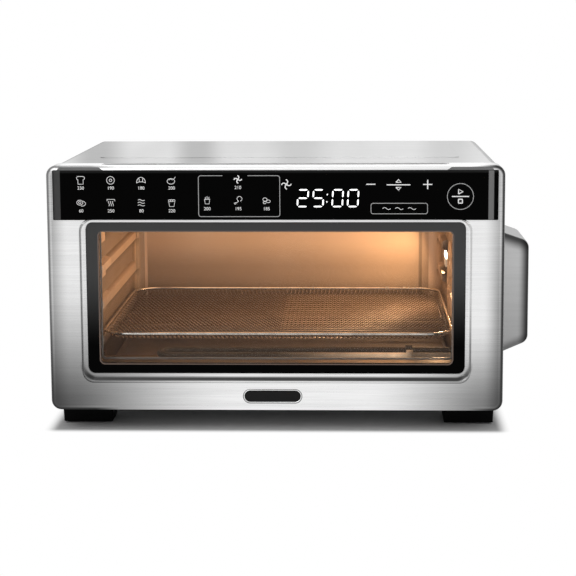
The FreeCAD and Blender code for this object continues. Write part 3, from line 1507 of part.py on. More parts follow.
def electrics():
    base = "cavityTop + linerWall"
    board = body("power_board")
    level = base + " + standoffHeight"
    pad(board, "laminate", "xy", level, level + " + boardWall", lambda s: rounded(
        s, ("boardX", "boardX + boardWidth"), ("boardY", "boardY + boardDepth"), "boardCorner"))
    for word, (left, right, front, rear, height) in BOARD_PARTS.items():
        pad(board, word, "xy", level + " + boardWall", f"{level} + boardWall + {height}",
            lambda s: rectangle(s, (f"boardX + {left}", f"boardX + {right}"),
                                (f"boardY + {front}", f"boardY + {rear}")))
    node("power_board", board)
    posts = [rod(f"standoff{number}", "z", base, level, (x, y), "standoffRadius")
             for number, (x, y) in enumerate(
                 [(x, y) for x in ("boardX + standoffInset", "boardX + boardWidth - standoffInset")
                  for y in ("boardY + standoffInset", "boardY + boardDepth - standoffInset")])]
    node("board_standoffs", fuse("board_standoffs", posts))

    place = ("sensorY", "sensorZ")
    probe = rod("probe", "x", "halfCavity - probeReach", "linerOuter + probeTail", place,
                "probeRadius")
    collar = rod("probe_collar", "x", "linerOuter", "linerOuter + probeCollarWall", place,
                 "probeCollar")
    node("temperature_sensor", fuse("temperature_sensor", [probe, collar]))

    gland = body("cord_gland")
    sketch = sketch_on(gland, "gland_sketch", "xy", "glandZ", ("glandX", "0"))
    inside = "wrapBack - glandInside"
    flange = "bodyDepth + glandFlangeWall"
    outline(sketch, [("cordHole", inside), ("glandRadius", inside), ("glandRadius", "bodyDepth"),
                     ("glandRadius + glandFlange", "bodyDepth"),
                     ("glandRadius + glandFlange", flange),
                     ("glandRadius", flange + " + glandBevel"),
                     ("cordHole + glandTipWall", "bodyDepth + glandReach"),
                     ("cordHole", "bodyDepth + glandReach")])
    turn = gland.newObject("PartDesign::Revolution", "gland_turn")
    turn.Profile = sketch
    turn.ReferenceAxis = (sketch, ["V_Axis"])
    turn.Angle = 360
    node("cord_gland", gland)


# Basket

def basket():
    """The round wire rim and the shallow mesh tray that hangs in it."""
    rim = body("basket_rim")
    path = sketch_on(rim, "rim_path", "xy", "rimHeight")
    rounded(path, mirrored("halfRim"), ("basketFront", "basketBack"), "basketCorner")
    section = sketch_on(rim, "rim_section", "yz", "0")
    ring(section, "basketFront", "rimHeight", "wireRadius")
    pipe = rim.newObject("PartDesign::AdditivePipe", "rim_wire")
    pipe.Profile = section
    pipe.Spine = (path, [f"Edge{number}" for number in range(1, 9)])
    node("basket_rim", rim)

    half, front, back = value("meshHalf"), value("meshFront"), value("meshBack")
    floor, wall, corner = value("meshFloor"), value("meshWall"), value("meshCorner")
    lip, lip_reach = value("meshLip"), value("meshInset")
    top = value("rimHeight") + lip / 2

    def plan(grow, height):
        """A rounded rectangle wire of the tray's plan, grown by a length."""
        a, r = half + grow, corner + grow
        low, high = front - grow, back + grow
        k = r * (1 - math.sqrt(0.5))
        spots = [((r - a, low), (a - r, low)), ((a, low + r), (a, high - r)),
                 ((a - r, high), (r - a, high)), ((-a, high - r), (-a, low + r))]
        mids = [(a - k, low + k), (a - k, high - k), (k - a, high - k), (k - a, low + k)]
        edges = []
        for number in range(4):
            start, end = (Vector(x, y, height) for x, y in spots[number])
            after = Vector(*spots[(number + 1) % 4][0], height)
            edges.append(Part.LineSegment(start, end).toShape())
            edges.append(Part.Arc(end, Vector(*mids[number], height), after).toShape())
        return Part.Wire(edges)

    columns, rows = COUNTS["meshColumns"], COUNTS["meshRows"]
    cell_x = (2 * half - corner) / columns
    cell_y = (back - front - corner) / rows
    bar = value("meshBar")
    holes = []
    for column in range(columns):
        for line in range(rows):
            x = -half + corner / 2 + cell_x * column + bar / 2
            y = front + corner / 2 + cell_y * line + bar / 2
            corners = [Vector(x, y, floor), Vector(x + cell_x - bar, y, floor),
                       Vector(x + cell_x - bar, y + cell_y - bar, floor),
                       Vector(x, y + cell_y - bar, floor)]
            holes.append(Part.makePolygon(corners + corners[:1]))
    maker = "Part::FaceMakerBullseye"
    net = Part.Face([plan(0, floor)] + holes, maker)
    bottom = net.extrude(Vector(0, 0, wall))
    side = Part.Face([plan(0, floor + wall), plan(-wall, floor + wall)], maker)
    sides = side.extrude(Vector(0, 0, top - lip - floor - wall))
    brim = Part.Face([plan(lip_reach, top - lip), plan(-wall, top - lip)], maker)
    brims = brim.extrude(Vector(0, 0, lip))
    tray = doc.addObject("Part::Feature", "basket_mesh")
    tray.Shape = bottom.fuse([sides, brims]).removeSplitter()
    node("basket_mesh", tray)


door_skin()
control_panel()
handle_cup()
window()
inner_panel()
hinges()
outer_wrap()
base_plate()
rear_panel()
front_bulkhead()
motor_cover()
feet()
fasteners()
cavity_shell()
cavity_walls()
elements()
crumb_tray()
air_system()
motor()
lamp()
electrics()
basket()
doc.recompute()

broken = [thing.Name for thing in doc.Objects
          if "Invalid" in thing.State or "Error" in thing.State]
if broken:
    raise RuntimeError("failed features: " + ", ".join(broken))
os.makedirs("parts", exist_ok=True)
faulty = [name for name, thing in nodes if thing.Shape.isNull() or not thing.Shape.isValid()]
if faulty:
    raise RuntimeError("no valid shape: " + ", ".join(faulty))
for name, thing in nodes:
    thing.Shape.exportStep(f"parts/{name}.step")
print(len(nodes), "nodes written")
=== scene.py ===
import json
import math
from types import SimpleNamespace

import bpy
from mathutils import Matrix, Vector


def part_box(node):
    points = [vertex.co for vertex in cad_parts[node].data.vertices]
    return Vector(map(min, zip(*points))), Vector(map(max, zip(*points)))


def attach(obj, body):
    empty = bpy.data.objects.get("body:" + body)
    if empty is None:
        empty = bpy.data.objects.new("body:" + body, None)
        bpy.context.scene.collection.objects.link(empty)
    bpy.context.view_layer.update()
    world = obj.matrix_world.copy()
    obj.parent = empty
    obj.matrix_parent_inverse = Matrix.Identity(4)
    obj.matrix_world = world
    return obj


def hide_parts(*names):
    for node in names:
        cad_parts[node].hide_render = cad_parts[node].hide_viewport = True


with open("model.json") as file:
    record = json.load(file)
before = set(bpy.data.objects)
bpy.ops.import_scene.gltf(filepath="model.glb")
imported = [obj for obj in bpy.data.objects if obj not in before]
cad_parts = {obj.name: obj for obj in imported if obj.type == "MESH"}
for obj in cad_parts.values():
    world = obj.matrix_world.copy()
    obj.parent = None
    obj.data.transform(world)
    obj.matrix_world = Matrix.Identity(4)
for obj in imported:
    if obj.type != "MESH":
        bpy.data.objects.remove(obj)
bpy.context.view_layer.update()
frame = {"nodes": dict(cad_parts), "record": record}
nodes = frame["nodes"]
slotOf = {part["node"]: part["material_slot"] for part in frame["record"]["subparts"]}
scene = bpy.context.scene
mm = 0.001


# Camera, floor and light

cameraSetup = {
    "place": (0.0484, -1.498, 0.3662),  # where the photograph was taken from
    "pitch": -7.416,                    # degrees, negative looks down
    "yaw": 1.609,                       # degrees, positive looks to the left
    "roll": -0.23,
    "lens": 97.84,                      # mm on a 36 mm sensor
    "shift": (-0.03, -0.12),
}

studio = {
    "floorSize": 14,
    "floorColour": 0.86,
    # painted shadow: the floor under the oven has this darker colour
    "paintedShadowColour": 0.42,
    "floorSoft": 0.014,      # width of the shade round the feet, real shade with a painted shadow, metres
    "floorFront": 0.020,     # how far it reaches before the front feet
    "skyStrength": 0.62,     # light that the white surroundings give
    "frontShade": (0.8, 1, -1, -0.2),     # how dark the room is behind the camera
    "key": {"place": (-1.1, -1.3, 1.6), "aim": (0, 0, 0.1), "size": (1.2, 1.2), "power": 14},
    "fill": {"place": (1.3, -1.1, 1.0), "aim": (0, 0, 0.1), "size": (1.0, 1.4), "power": 7,
             "mirrored": False},     # it would bleach the top, seen from behind
    "back": {"place": (0.1, 1.1, 1.5), "aim": (0, 0, 0.2), "size": (1.4, 0.6), "power": 6},
}

ovenLight = {
    "lamp": {"size": (0.02, 0.015), "power": 0.31, "colour": (1.0, 0.60, 0.31)},
    "lampStart": (-0.007, 0, 0), "lampAim": (-0.2, -0.02, -0.05),     # from the lens's middle
    "glow": {"size": (0.26, 0.2), "power": 0.26, "colour": (1.0, 0.58, 0.30)},
    "glowDrop": 0.022,       # below the top of the cavity
}


def addCamera():
    data = bpy.data.cameras.new("camera")
    data.lens = cameraSetup["lens"]
    data.shift_x, data.shift_y = cameraSetup["shift"]
    data.clip_start = 0.02
    camera = bpy.data.objects.new("camera", data)
    camera.location = cameraSetup["place"]
    turn = Matrix.Rotation(math.radians(cameraSetup["yaw"]), 3, "Z")
    turn = turn @ Matrix.Rotation(math.radians(90 + cameraSetup["pitch"]), 3, "X")
    turn = turn @ Matrix.Rotation(math.radians(cameraSetup["roll"]), 3, "Z")
    camera.rotation_euler = turn.to_euler()
    scene.collection.objects.link(camera)
    scene.camera = camera


def addLamp(name, place, aim, size, power, colour=(1, 1, 1), mirrored=True):
    data = bpy.data.lights.new(name, "AREA")
    data.shape = "RECTANGLE"
    data.size, data.size_y = size
    data.energy = power
    data.color = colour
    lamp = bpy.data.objects.new(name, data)
    lamp.location = place
    lamp.rotation_euler = (Vector(aim) - Vector(place)).to_track_quat("-Z", "Y").to_euler()
    lamp.visible_glossy = mirrored
    scene.collection.objects.link(lamp)


# 1 for the kinds of ray that see a white background.
def seenRays(tree, *kinds):
    path = addNode(tree, "LightPath")
    seen = nodeValue(path.outputs[kinds[0]])
    for kind in kinds[1:]:
        seen = addMath("MAXIMUM", seen, path.outputs[kind])
    return seen


def addFloor():
    deselectAll()
    bpy.ops.mesh.primitive_plane_add(size=studio["floorSize"], location=(0, 0, 0))
    floor = bpy.context.object
    floor.name = "floor"
    mat, shader, spot = newFinish("studioFloor", Roughness=0.9, Specular_IOR_Level=0.1)
    low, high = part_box("foot_front_left")[0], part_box("foot_rear_right")[1]
    away = reachPast(spot.x, spot.y, (low.x, low.y - studio["floorFront"]), (high.x, high.y))
    plain = rangeOf(away, 0, 1, 0, studio["floorSoft"], smooth=True)
    # painted shadow: the floor under the oven gets a darker colour on top of its real shade
    setShader(shader, Base_Color=toneBetween(plain, studio["paintedShadowColour"], studio["floorColour"]))
    seen = seenRays(spot.tree, "Is Camera Ray", "Is Glossy Ray", "Is Transmission Ray")
    white = addNode(spot.tree, "Emission", in_Color=colourOf(1))
    mix = addNode(spot.tree, "MixShader", in_0=plain * seen, in_1=shader.outputs[0],
                  in_2=white.outputs[0])
    feed(spot.tree.nodes["Material Output"].inputs["Surface"], mix.outputs[0])
    floor.data.materials.append(mat)


def setWorld():
    world = bpy.data.worlds.new("studio")
    scene.world = world
    world.use_nodes = True
    tree = world.node_tree
    tree.nodes.clear()
    place = addNode(tree, "TexCoord")
    depth = splitOf(place.outputs["Generated"])[1]
    shaded = rangeOf(depth, *studio["frontShade"], smooth=True)
    light, mirrored, white = (addNode(tree, "Background", in_Color=colourOf(1), in_Strength=strength)
                              for strength in (studio["skyStrength"], shaded, 1))
    gloss = addNode(tree, "MixShader", in_0=seenRays(tree, "Is Glossy Ray"),
                    in_1=light.outputs[0], in_2=mirrored.outputs[0])
    whole = addNode(tree, "MixShader", in_0=seenRays(tree, "Is Camera Ray", "Is Transmission Ray"),
                    in_1=gloss.outputs[0], in_2=white.outputs[0])
    addNode(tree, "OutputWorld", in_0=whole.outputs[0])


# Selecting and placing, as by hand

def setMode(mode):
    bpy.ops.object.mode_set(mode=mode)


def deselectAll():
    if bpy.context.object and bpy.context.object.mode != "OBJECT":
        setMode("OBJECT")
    bpy.ops.object.select_all(action="DESELECT")


def takeUp(piece):
    deselectAll()
    piece.select_set(True)
    bpy.context.view_layer.objects.active = piece


def applyAll(piece):
    takeUp(piece)
    bpy.ops.object.transform_apply(location=True, rotation=True, scale=True)
    return piece


def joinAll(pieces, name):
    deselectAll()
    for piece in pieces:
        piece.select_set(True)
    bpy.context.view_layer.objects.active = pieces[0]
    if len(pieces) > 1:
        bpy.ops.object.join()
    whole = bpy.context.object
    whole.name = name
    whole.data.name = name
    return applyAll(whole)


def finishPiece(piece, body, slotName, finish, *replaced):
    piece.data.materials.clear()
    piece.data.materials.append(finish)
    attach(piece, body)
    if replaced:
        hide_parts(*replaced)


def middleOf(corners):
    return (corners[0] + corners[1]) / 2


# Sums with nodes

# A number that a node puts out. What is worked out with it becomes Math nodes.
class nodeValue:
    def __init__(self, socket):
        self.socket = socket

    def __rsub__(self, other):
        return addMath("SUBTRACT", other, self)

    def __abs__(self):
        return addMath("ABSOLUTE", self)


for sign, operation in (("add", "ADD"), ("sub", "SUBTRACT"), ("mul", "MULTIPLY"),
                        ("truediv", "DIVIDE"), ("gt", "GREATER_THAN"), ("lt", "LESS_THAN")):
    setattr(nodeValue, f"__{sign}__",
            lambda self, other, kind=operation: addMath(kind, self, other))


# Link a node's output into a socket, or set the socket to a plain value.
def feed(target, source):
    source = getattr(source, "socket", source)
    if isinstance(source, bpy.types.NodeSocket):
        target.id_data.links.new(source, target)
    else:
        target.default_value = source


# in_ settings go to the inputs, by name or number.
def addNode(tree, kind, **settings):
    made = tree.nodes.new("ShaderNode" + kind)
    for key, value in settings.items():
        label = key[3:].replace("_", " ")
        if key.startswith("in_"):
            feed(made.inputs[int(label) if label.isdigit() else label], value)
        else:
            setattr(made, key, value)
    return made


def addMath(operation, *sources):
    known = [source for source in sources if isinstance(source, nodeValue)]
    made = addNode(known[0].socket.id_data, "Math", operation=operation)
    for target, source in zip(made.inputs, sources):
        feed(target, source)
    return nodeValue(made.outputs[0])


def splitOf(vector):
    split = addNode(vector.id_data, "SeparateXYZ", in_0=vector)
    return [nodeValue(output) for output in split.outputs]


def rangeOf(value, low, high, start=0.0, end=1.0, smooth=False):
    made = addNode(value.socket.id_data, "MapRange", in_Value=value, in_From_Min=start,
                   in_From_Max=end, in_To_Min=low, in_To_Max=high,
                   interpolation_type="SMOOTHSTEP" if smooth else "LINEAR")
    return nodeValue(made.outputs[0])


# share at start, 1 at end. Both are counted from an origin.
def fade(value, look, origin=0.0, smooth=False):
    share, start, end = look
    return rangeOf(value, share, 1.0, origin + start, origin + end, smooth)


# 1 near, 0 away. It falls between two shares of the width.
def nearTo(away, width, soft, smooth=True):
    return rangeOf(away, 1.0, 0.0, width * soft[0], width * soft[1], smooth)


# 1 between inner and outer, falling off softly on both sides.
def bandOf(value, inner, outer, soft=(0.5, 1.3)):
    return nearTo(abs(value - (inner + outer) / 2), (outer - inner) / 2, soft)


# 1 where the mask is 0, share where it is 1.
def darkened(mask, share):
    return rangeOf(mask, 1.0, share)


# first where the factor is 0, second where it is 1.
def mixValues(factor, first, second):
    made = addNode(factor.socket.id_data, "Mix", in_0=factor, in_2=first, in_3=second)
    return nodeValue(made.outputs[0])


# How far a place lies outside a rectangle with rounded corners.
def reachPast(first, second, low, high, radius=0.0):
    over = []
    for value, start, end in ((first, low[0], high[0]), (second, low[1], high[1])):
        away = abs(value - (start + end) / 2) - ((end - start) / 2 - radius)
        over.append(addMath("MAXIMUM", away, 0.0))
    return addMath("SQRT", over[0] * over[0] + over[1] * over[1]) - radius


# A plain number stands for a grey.
def colourOf(value):
    if isinstance(value, bpy.types.NodeSocket):
        return value
    return (value, value, value, 1) if isinstance(value, (int, float)) else (*value, 1)


# A colour that runs from dark to light as the factor runs from 0 to 1.
def toneBetween(factor, dark, light):
    mix = addNode(factor.socket.id_data, "Mix", data_type="RGBA", in_0=factor,
                  in_6=colourOf(dark), in_7=colourOf(light))
    return mix.outputs[2]


# Shader groups

groups = {}
noiseSpread = (0.3, 0.7)      # where most of a noise's values lie
crystalShare = 0.6            # of the zinc plate's tone


# A group that reads a place and some numbers, and puts out numbers.
def newGroup(name, outputs, **numbers):
    group = bpy.data.node_groups.new(name, "ShaderNodeTree")
    group.interface.new_socket(name="Vector", in_out="INPUT", socket_type="NodeSocketVector")
    for label, value in numbers.items():
        socket = group.interface.new_socket(name=label, in_out="INPUT",
                                            socket_type="NodeSocketFloat")
        socket.default_value = value
    for label in outputs:
        group.interface.new_socket(name=label, in_out="OUTPUT", socket_type="NodeSocketFloat")
    groups[name] = group
    return (group, group.nodes.new("NodeGroupInput").outputs,
            group.nodes.new("NodeGroupOutput").inputs)


def useGroup(name, vector, **values):
    made = addNode(vector.id_data, "Group", node_tree=groups[name])
    feed(made.inputs["Vector"], vector)
    for key, value in values.items():
        made.inputs[key].default_value = value
    return [nodeValue(output) for output in made.outputs]


def noiseOf(place, scale, detail, rough=0.5):
    noise = addNode(place.id_data, "TexNoise", in_Vector=place, in_Scale=scale, in_Detail=detail,
                    in_Roughness=rough)
    return nodeValue(noise.outputs["Fac"])


# Long scratches across a surface. Along and Across are grains per metre.
def brushedGroup():
    group, given, out = newGroup("brushedGrain", ("Streaks", "Broad"), Along=12.0, Across=1400.0)
    x, y, z = splitOf(given["Vector"])
    for label, factor, detail in (("Streaks", 1.0, 2.0), ("Broad", 0.16, 1.0)):
        joined = addNode(group, "CombineXYZ", in_X=x * given["Along"] * (0.5 + factor / 2),
                         in_Y=y * given["Across"] * factor, in_Z=z)
        feed(out[label], noiseOf(joined.outputs[0], 1.0, detail, 0.6))


# Soft uneven patches, from 0 to 1.
def cloudGroup():
    group, given, out = newGroup("softPatches", ("Value",), Scale=20.0)
    noise = noiseOf(given["Vector"], given["Scale"], 3.0, 0.55)
    feed(out["Value"], rangeOf(noise, 0.0, 1.0, *noiseSpread))


# The fine pits of moulded plastic, rubber and cast ceramic.
def stippleGroup():
    group, given, out = newGroup("stipple", ("Height", "Tone"), Scale=1800.0)
    feed(out["Height"], noiseOf(given["Vector"], given["Scale"], 2.0, 0.7))
    feed(out["Tone"], noiseOf(given["Vector"], 60.0, 2.0))


# The crystals of zinc plate.
def spangleGroup():
    group, given, out = newGroup("spangle", ("Value",), Scale=160.0)
    cells = addNode(group, "TexVoronoi", in_Vector=given["Vector"], in_Scale=given["Scale"])
    feed(out["Value"], splitOf(cells.outputs["Color"])[0])


# Finishes

badgePlate = {
    "middle": (-19.0, 32.35),     # mm, across and up
    "size": (50.6, 11.1),
    "seat": -147.2,               # floor of the recess
    "thick": 0.5,
    "sunk": 0.15,
    "rimPen": 0.9,
    "rimThick": 0.4,
    "sides": 48,                  # of the two round ends together
}

surface = {                   # roughness less and more, and metres of depth
    "brushed": (-0.07, 0.09, 0.00002),
    "sheet": (0.08, -0.06, 0.00001),
    "plastic": (-0.1, 0.1, 0.00003),
}


def setShader(shader, **values):
    for key, value in values.items():
        feed(shader.inputs[key.replace("_", " ")], value)


# The spot holds a surface's place on the object and the way it faces.
def newFinish(name, **values):
    mat = bpy.data.materials.new(name)
    mat.use_nodes = True
    tree = mat.node_tree
    shader = tree.nodes["Principled BSDF"]
    setShader(shader, **values)
    coord = addNode(tree, "TexCoord")
    spot = SimpleNamespace(tree=tree, place=coord.outputs["Object"], facing=coord.outputs["Normal"])
    spot.x, spot.y, spot.z = splitOf(spot.place)
    spot.faceX, spot.faceY, spot.faceZ = splitOf(spot.facing)
    return mat, shader, spot


def addBump(shader, height, depth, normal=None):
    bump = addNode(shader.id_data, "Bump", in_Distance=depth, in_Height=height)
    if normal is not None:
        feed(bump.inputs["Normal"], normal)
    feed(shader.inputs["Normal"], bump.outputs[0])


# The surface's normal, turned to one way of the piece where the mask is 1.
def leanNormal(spot, mask, way):
    mix = addNode(spot.tree, "Mix", data_type="VECTOR", in_0=mask, in_4=spot.facing, in_5=way)
    turned = addNode(spot.tree, "VectorTransform", vector_type="NORMAL", convert_from="OBJECT",
                     convert_to="WORLD", in_0=mix.outputs[1])
    return turned.outputs[0]


# (along, across, 0): scratches run level on the front, back and top, and front to back
# on the sides.
def grainPlane(spot, turned=0.75):
    joined = addNode(spot.tree, "CombineXYZ",
                     in_X=mixValues(abs(spot.faceX) > turned, spot.x, spot.y),
                     in_Y=mixValues(abs(spot.faceZ) > turned, spot.z, spot.y))
    return joined.outputs[0]


# Brushed sheet. shade paints light and shade into the tone by place and by which way the sheet
# faces.
def brushedMetal(name, dark, light, rough, grainShare, broadShare, shade, lean=None, **grain):
    mat, shader, spot = newFinish(name, Metallic=1.0)
    streaks, broad = useGroup("brushedGrain", grainPlane(spot), **grain)
    tone = rangeOf(streaks, 1 - grainShare, 1.0, *noiseSpread)
    tone *= rangeOf(broad, 1 - broadShare, 1.0, *noiseSpread)
    tone *= shade(spot)
    less, more, depth = surface["brushed"]
    setShader(shader, Base_Color=toneBetween(tone, dark, light),
              Roughness=rangeOf(streaks, rough + less, rough + more, *noiseSpread))
    addBump(shader, streaks, depth, lean(spot) if lean else None)
    return mat


# painted reflection, highlight and shade on the door's steel
doorPaintedLight = {
    "leftEdge": (0.42, 0, 0.019),  # painted reflection: share of the brightness at the edge, from and to
    "rightEdge": (0.22, 0.019),
    "rightEdgeHigh": (0.7, 0.11, 0.18),    # how much of it is left higher up, from and to
    "leftCorner": ((0.06, 0, 0.150), 0.86, 1.15),     # painted shade towards the lower corners: the same, and how it is squeezed
    "rightCorner": ((0.16, 0, 0.100), 0.80, 1.10),
    "glassCorner": 0.008,
    "groove": 0.0047,              # painted shadow of a pressed line, metres out from the window's glass
    "grooveSide": (0.0010, 0.42),  # half its width, and its share of the brightness
    "grooveLow": (0.0019, 0.03),
    "grooveSoft": (0.4, 1.5),      # where it falls off, in shares of its width
    "grooveTurn": (-0.002, 0.012, -0.001),     # where they meet, and where the side one ends
    "grooveRight": (0.4, 0.075, 0.12),     # how much of it is left higher up on the right
    "bevel": 0.0032,               # the pressed edge round the window
    "bevelSoft": 0.0006,
    "lean": (0, -1, 0.12),         # the way that it and the foot's edge seem to face
    "foot": (0.006, 0.7),          # the lower rounded edge: its reach, and how far it leans
    "corner": 0.009,
    "rimDark": (0.0026, 0.01, 0.4, 0.01),      # painted dark line at the outline: width, share low down and high up on the left, and on the right
                                               # high up on the left, and on the right
    "rimSoft": (0.7, 1.3),         # where it falls off, in shares of its width
    "rimRise": (0.02, 0.11),       # heights between which the left one fades
    "rimHighlight": (0.0046, 1.35),    # painted highlight just inside it
    "rimReach": (0.030, 0.008),    # they fade out towards the middle
    "rimFront": (0.004, 0.005),    # and towards the slab's sides
    "recess": (0.1, 0.0007, 0.0011),       # painted shade in the gap round the badge plate: share, from and to
    "flank": (0.66, 0.005, 0.0065),        # the slab's own sides, and how far they are turned
    "turned": 0.9,
}


# How far out from the window's glass.
def windowReach(spot):
    low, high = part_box("outer_window_glass")
    return reachPast(spot.x, spot.z, (low.x, low.z), (high.x, high.z), doorPaintedLight["glassCorner"])


# The pressed edge round the window catches the light like the face does.
def doorLean(spot):
    look = doorPaintedLight
    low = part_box("door_skin")[0]
    mask = rangeOf(windowReach(spot), 1.0, 0.0, look["bevel"] - look["bevelSoft"], look["bevel"])
    reach, share = look["foot"]
    foot = (spot.z < low.z + reach) * (spot.y < low.y + reach) * share
    return leanNormal(spot, addMath("MAXIMUM", mask, foot), look["lean"])


# Painted reflection: a dark line at the door's outline, a bright one inside, at its sides and
# corners.
def doorOutline(spot):
    look = doorPaintedLight
    low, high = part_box("door_skin")
    width, leftLow, leftHigh, right = look["rimDark"]
    brightEnd, bright = look["rimHighlight"]
    inside = reachPast(spot.x, spot.z, (low.x, low.z), (high.x, high.z), look["corner"]) * -1.0
    start, end = look["rimReach"]
    sides = rangeOf(abs(spot.x), 0.0, 1.0, high.x - start, high.x - end)
    start, end = look["rimFront"]
    sides *= rangeOf(spot.y, 1.0, 0.0, low.y + start, low.y + end)
    left = rangeOf(spot.z, leftLow, leftHigh, *look["rimRise"])
    line = nearTo(inside, width, look["rimSoft"], smooth=False)
    line *= 1 - mixValues(spot.x > 0.0, left, right)
    shine = bandOf(inside, width, brightEnd) * (bright - 1)
    return (shine - line) * sides + 1.0


# Painted reflection and shade: brightest along the middle of the columns, darker towards the edges
# and lower corners, along the pressed line round the window, on the rounded edge and in the badge's
# gap.
def doorShade(spot):
    look = doorPaintedLight
    low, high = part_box("door_skin")
    tone = fade(spot.x, look["leftEdge"], low.x, smooth=True)
    share, reach = look["rightEdge"]
    edge = rangeOf(spot.x, 0.0, 1 - share, high.x - reach, high.x, smooth=True)
    tone *= 1 - edge * rangeOf(spot.z, 1.0, *look["rightEdgeHigh"])
    for side, cornerX in (("leftCorner", low.x), ("rightCorner", high.x)):
        share, wide, tall = look[side]
        corner = (cornerX * wide, low.z * tall)
        away = reachPast(spot.x * wide, spot.z * tall, corner, corner)
        tone *= fade(away, share, smooth=True)
    past = windowReach(spot)
    away = abs(past - look["groove"])
    glassLow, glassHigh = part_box("outer_window_glass")
    start, end, top = look["grooveTurn"]
    below = rangeOf(spot.z, 1.0, 0.0, glassLow.z + start, glassLow.z + end)
    share, start, end = look["grooveRight"]
    faint = rangeOf(spot.z, 0.0, 1 - share, start, end) * (spot.x > 0.0)
    beside = ((spot.z < glassHigh.z + top) - faint) * (1 - below)
    for key, mask in (("grooveSide", beside), ("grooveLow", below)):
        width, share = look[key]
        tone *= 1 - nearTo(away, width, look["grooveSoft"]) * mask * (1 - share)
    tone *= doorOutline(spot)
    x, z = badgePlate["middle"]
    halfWide, halfTall = (side / 2 for side in badgePlate["size"])
    gap = reachPast(spot.x, spot.z, ((x - halfWide) * mm, (z - halfTall) * mm),
                    ((x + halfWide) * mm, (z + halfTall) * mm), halfTall * mm)
    tone *= fade(gap, look["recess"])
    share, start, end = look["flank"]
    sideways = abs(spot.faceX) * (past > look["bevel"]) > look["turned"]
    flank = sideways * rangeOf(spot.y, 0.0, 1.0, low.y + start, low.y + end)
    return mixValues(flank, tone, share)


wrapTone = {
    "reflectionBands": ((-0.170, 0.022, 0.50), (-0.083, 0.018, 0.52), (0.005, 0.024, 0.74),
              (0.134, 0.022, 0.74)),     # painted reflection bands: middle, half width and share of the brightness
    "bandSoft": (0.2, 1.5), "level": 0.5,
    "fan": (0.048, 1.498),               # the painted bands spread from this place, metres before
    "patches": 11.0, "patchShare": 0.86,
    "patchStretch": (1.0, 0.12, 0.12),
    "foldShare": 0.5,
    "fold": (0.05, 0.85),                # how far a fold is turned to the side, where painted shade falls
    "slope": (0.08, 0.2, 0.15),          # how the pressed panel's front slope faces
}


# The pressed panel's front slope is as bright as the top round it.
def wrapLean(spot):
    start, end, up = wrapTone["slope"]
    mask = rangeOf(spot.faceY * -1.0, 0.0, 1.0, start, end) * (spot.faceZ > up)
    return leanNormal(spot, mask, (0, 0, 1))


# Painted reflection: soft bands across the top; painted shade: darker folds and pressed edges.
def wrapShade(spot):
    look = wrapTone
    stretched = addNode(spot.tree, "Mapping", in_Vector=spot.place, in_Scale=look["patchStretch"])
    patch, = useGroup("softPatches", stretched.outputs[0], Scale=look["patches"])
    tone = rangeOf(patch, look["patchShare"], 1.0)
    level = spot.faceZ > look["level"]
    side, before = look["fan"]
    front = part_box("door_skin")[0].y
    across = (spot.x - side) / (spot.y + before) * (before + front) + side
    for middle, half, share in look["reflectionBands"]:
        tone *= darkened(nearTo(abs(across - middle), half, look["bandSoft"]) * level, share)
    return tone * darkened(bandOf(abs(spot.faceX), *look["fold"]), look["foldShare"])


# painted shade and reflection on the motor cover
coverTone = {
    "low": (0.62, 0.03),      # share of the brightness at the bottom, and where it ends
    "brow": (0.10, 0, 0.012), # under the upper edge: share, from and to
    "chin": (0.40, 0, 0.009),
    "rim": (0.05, 0, 0.0095),
    "inset": (0.002, 0.001),  # the dark edges start this far in, above and below, and aside
    "front": (-0.6, -0.3),    # how the parts face that are shaded so
    "roof": (0.66, 0.5, 0.8), # painted shade on the upper slope: share, and how it faces
    "slopes": (0.348, 0.433), # how steeply the upper and lower edges run
}


# Painted shade and reflection: the front is paler towards the top and dark along its edges.
def coverShade(spot):
    look = coverTone
    low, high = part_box("fan_motor_cover")
    share, drop = look["low"]
    tone = rangeOf(spot.z, share, 1.0, low.z, high.z - drop)
    across = spot.x - low.x
    (upper, lower), (tall, wide) = look["slopes"], look["inset"]
    for key, inside in (("brow", high.z - tall - (across * upper + spot.z)),
                        ("chin", spot.z - (across * lower + (low.z + tall))),
                        ("rim", high.x - low.x - wide - across)):
        tone *= fade(inside, look[key], smooth=True)
    tone = mixValues(rangeOf(spot.faceY, 1.0, 0.0, *look["front"]), 1.0, tone)
    return tone * rangeOf(spot.faceZ, 1.0, *look["roof"])


# Unbrushed plated sheet with faint patches or crystals; shade paints light and shade into its tone,
# glow makes it glow.
def plainSheet(name, dark, light, rough, spangled=False, metallic=1.0, patchScale=14.0,
               patchShare=1.0, shade=None, glow=0.0):
    mat, shader, spot = newFinish(name, Metallic=metallic)
    tone, = useGroup("softPatches", spot.place, Scale=patchScale)
    if spangled:
        crystals, = useGroup("spangle", spot.place)
        tone = crystals * crystalShare + tone * (1 - crystalShare)
    less, more, depth = surface["sheet"]
    setShader(shader, Roughness=rangeOf(tone, rough + less, rough + more))
    tone = rangeOf(tone, 1 - patchShare, 1.0)
    if shade:
        tone *= shade(spot)
    colour = toneBetween(tone, dark, light)
    setShader(shader, Base_Color=colour)
    if glow:
        setShader(shader, Emission_Color=colour, Emission_Strength=glow)
    addBump(shader, useGroup("stipple", spot.place, Scale=900.0)[0], depth)
    return mat


def mouldedPlastic(name, dark, light, rough, grain=1600.0, **values):
    mat, shader, spot = newFinish(name, **values)
    height, tone = useGroup("stipple", spot.place, Scale=grain)
    less, more, depth = surface["plastic"]
    setShader(shader, Base_Color=toneBetween(tone, dark, light),
              Roughness=rangeOf(height, rough + less, rough + more, *noiseSpread))
    addBump(shader, height, depth)
    return mat
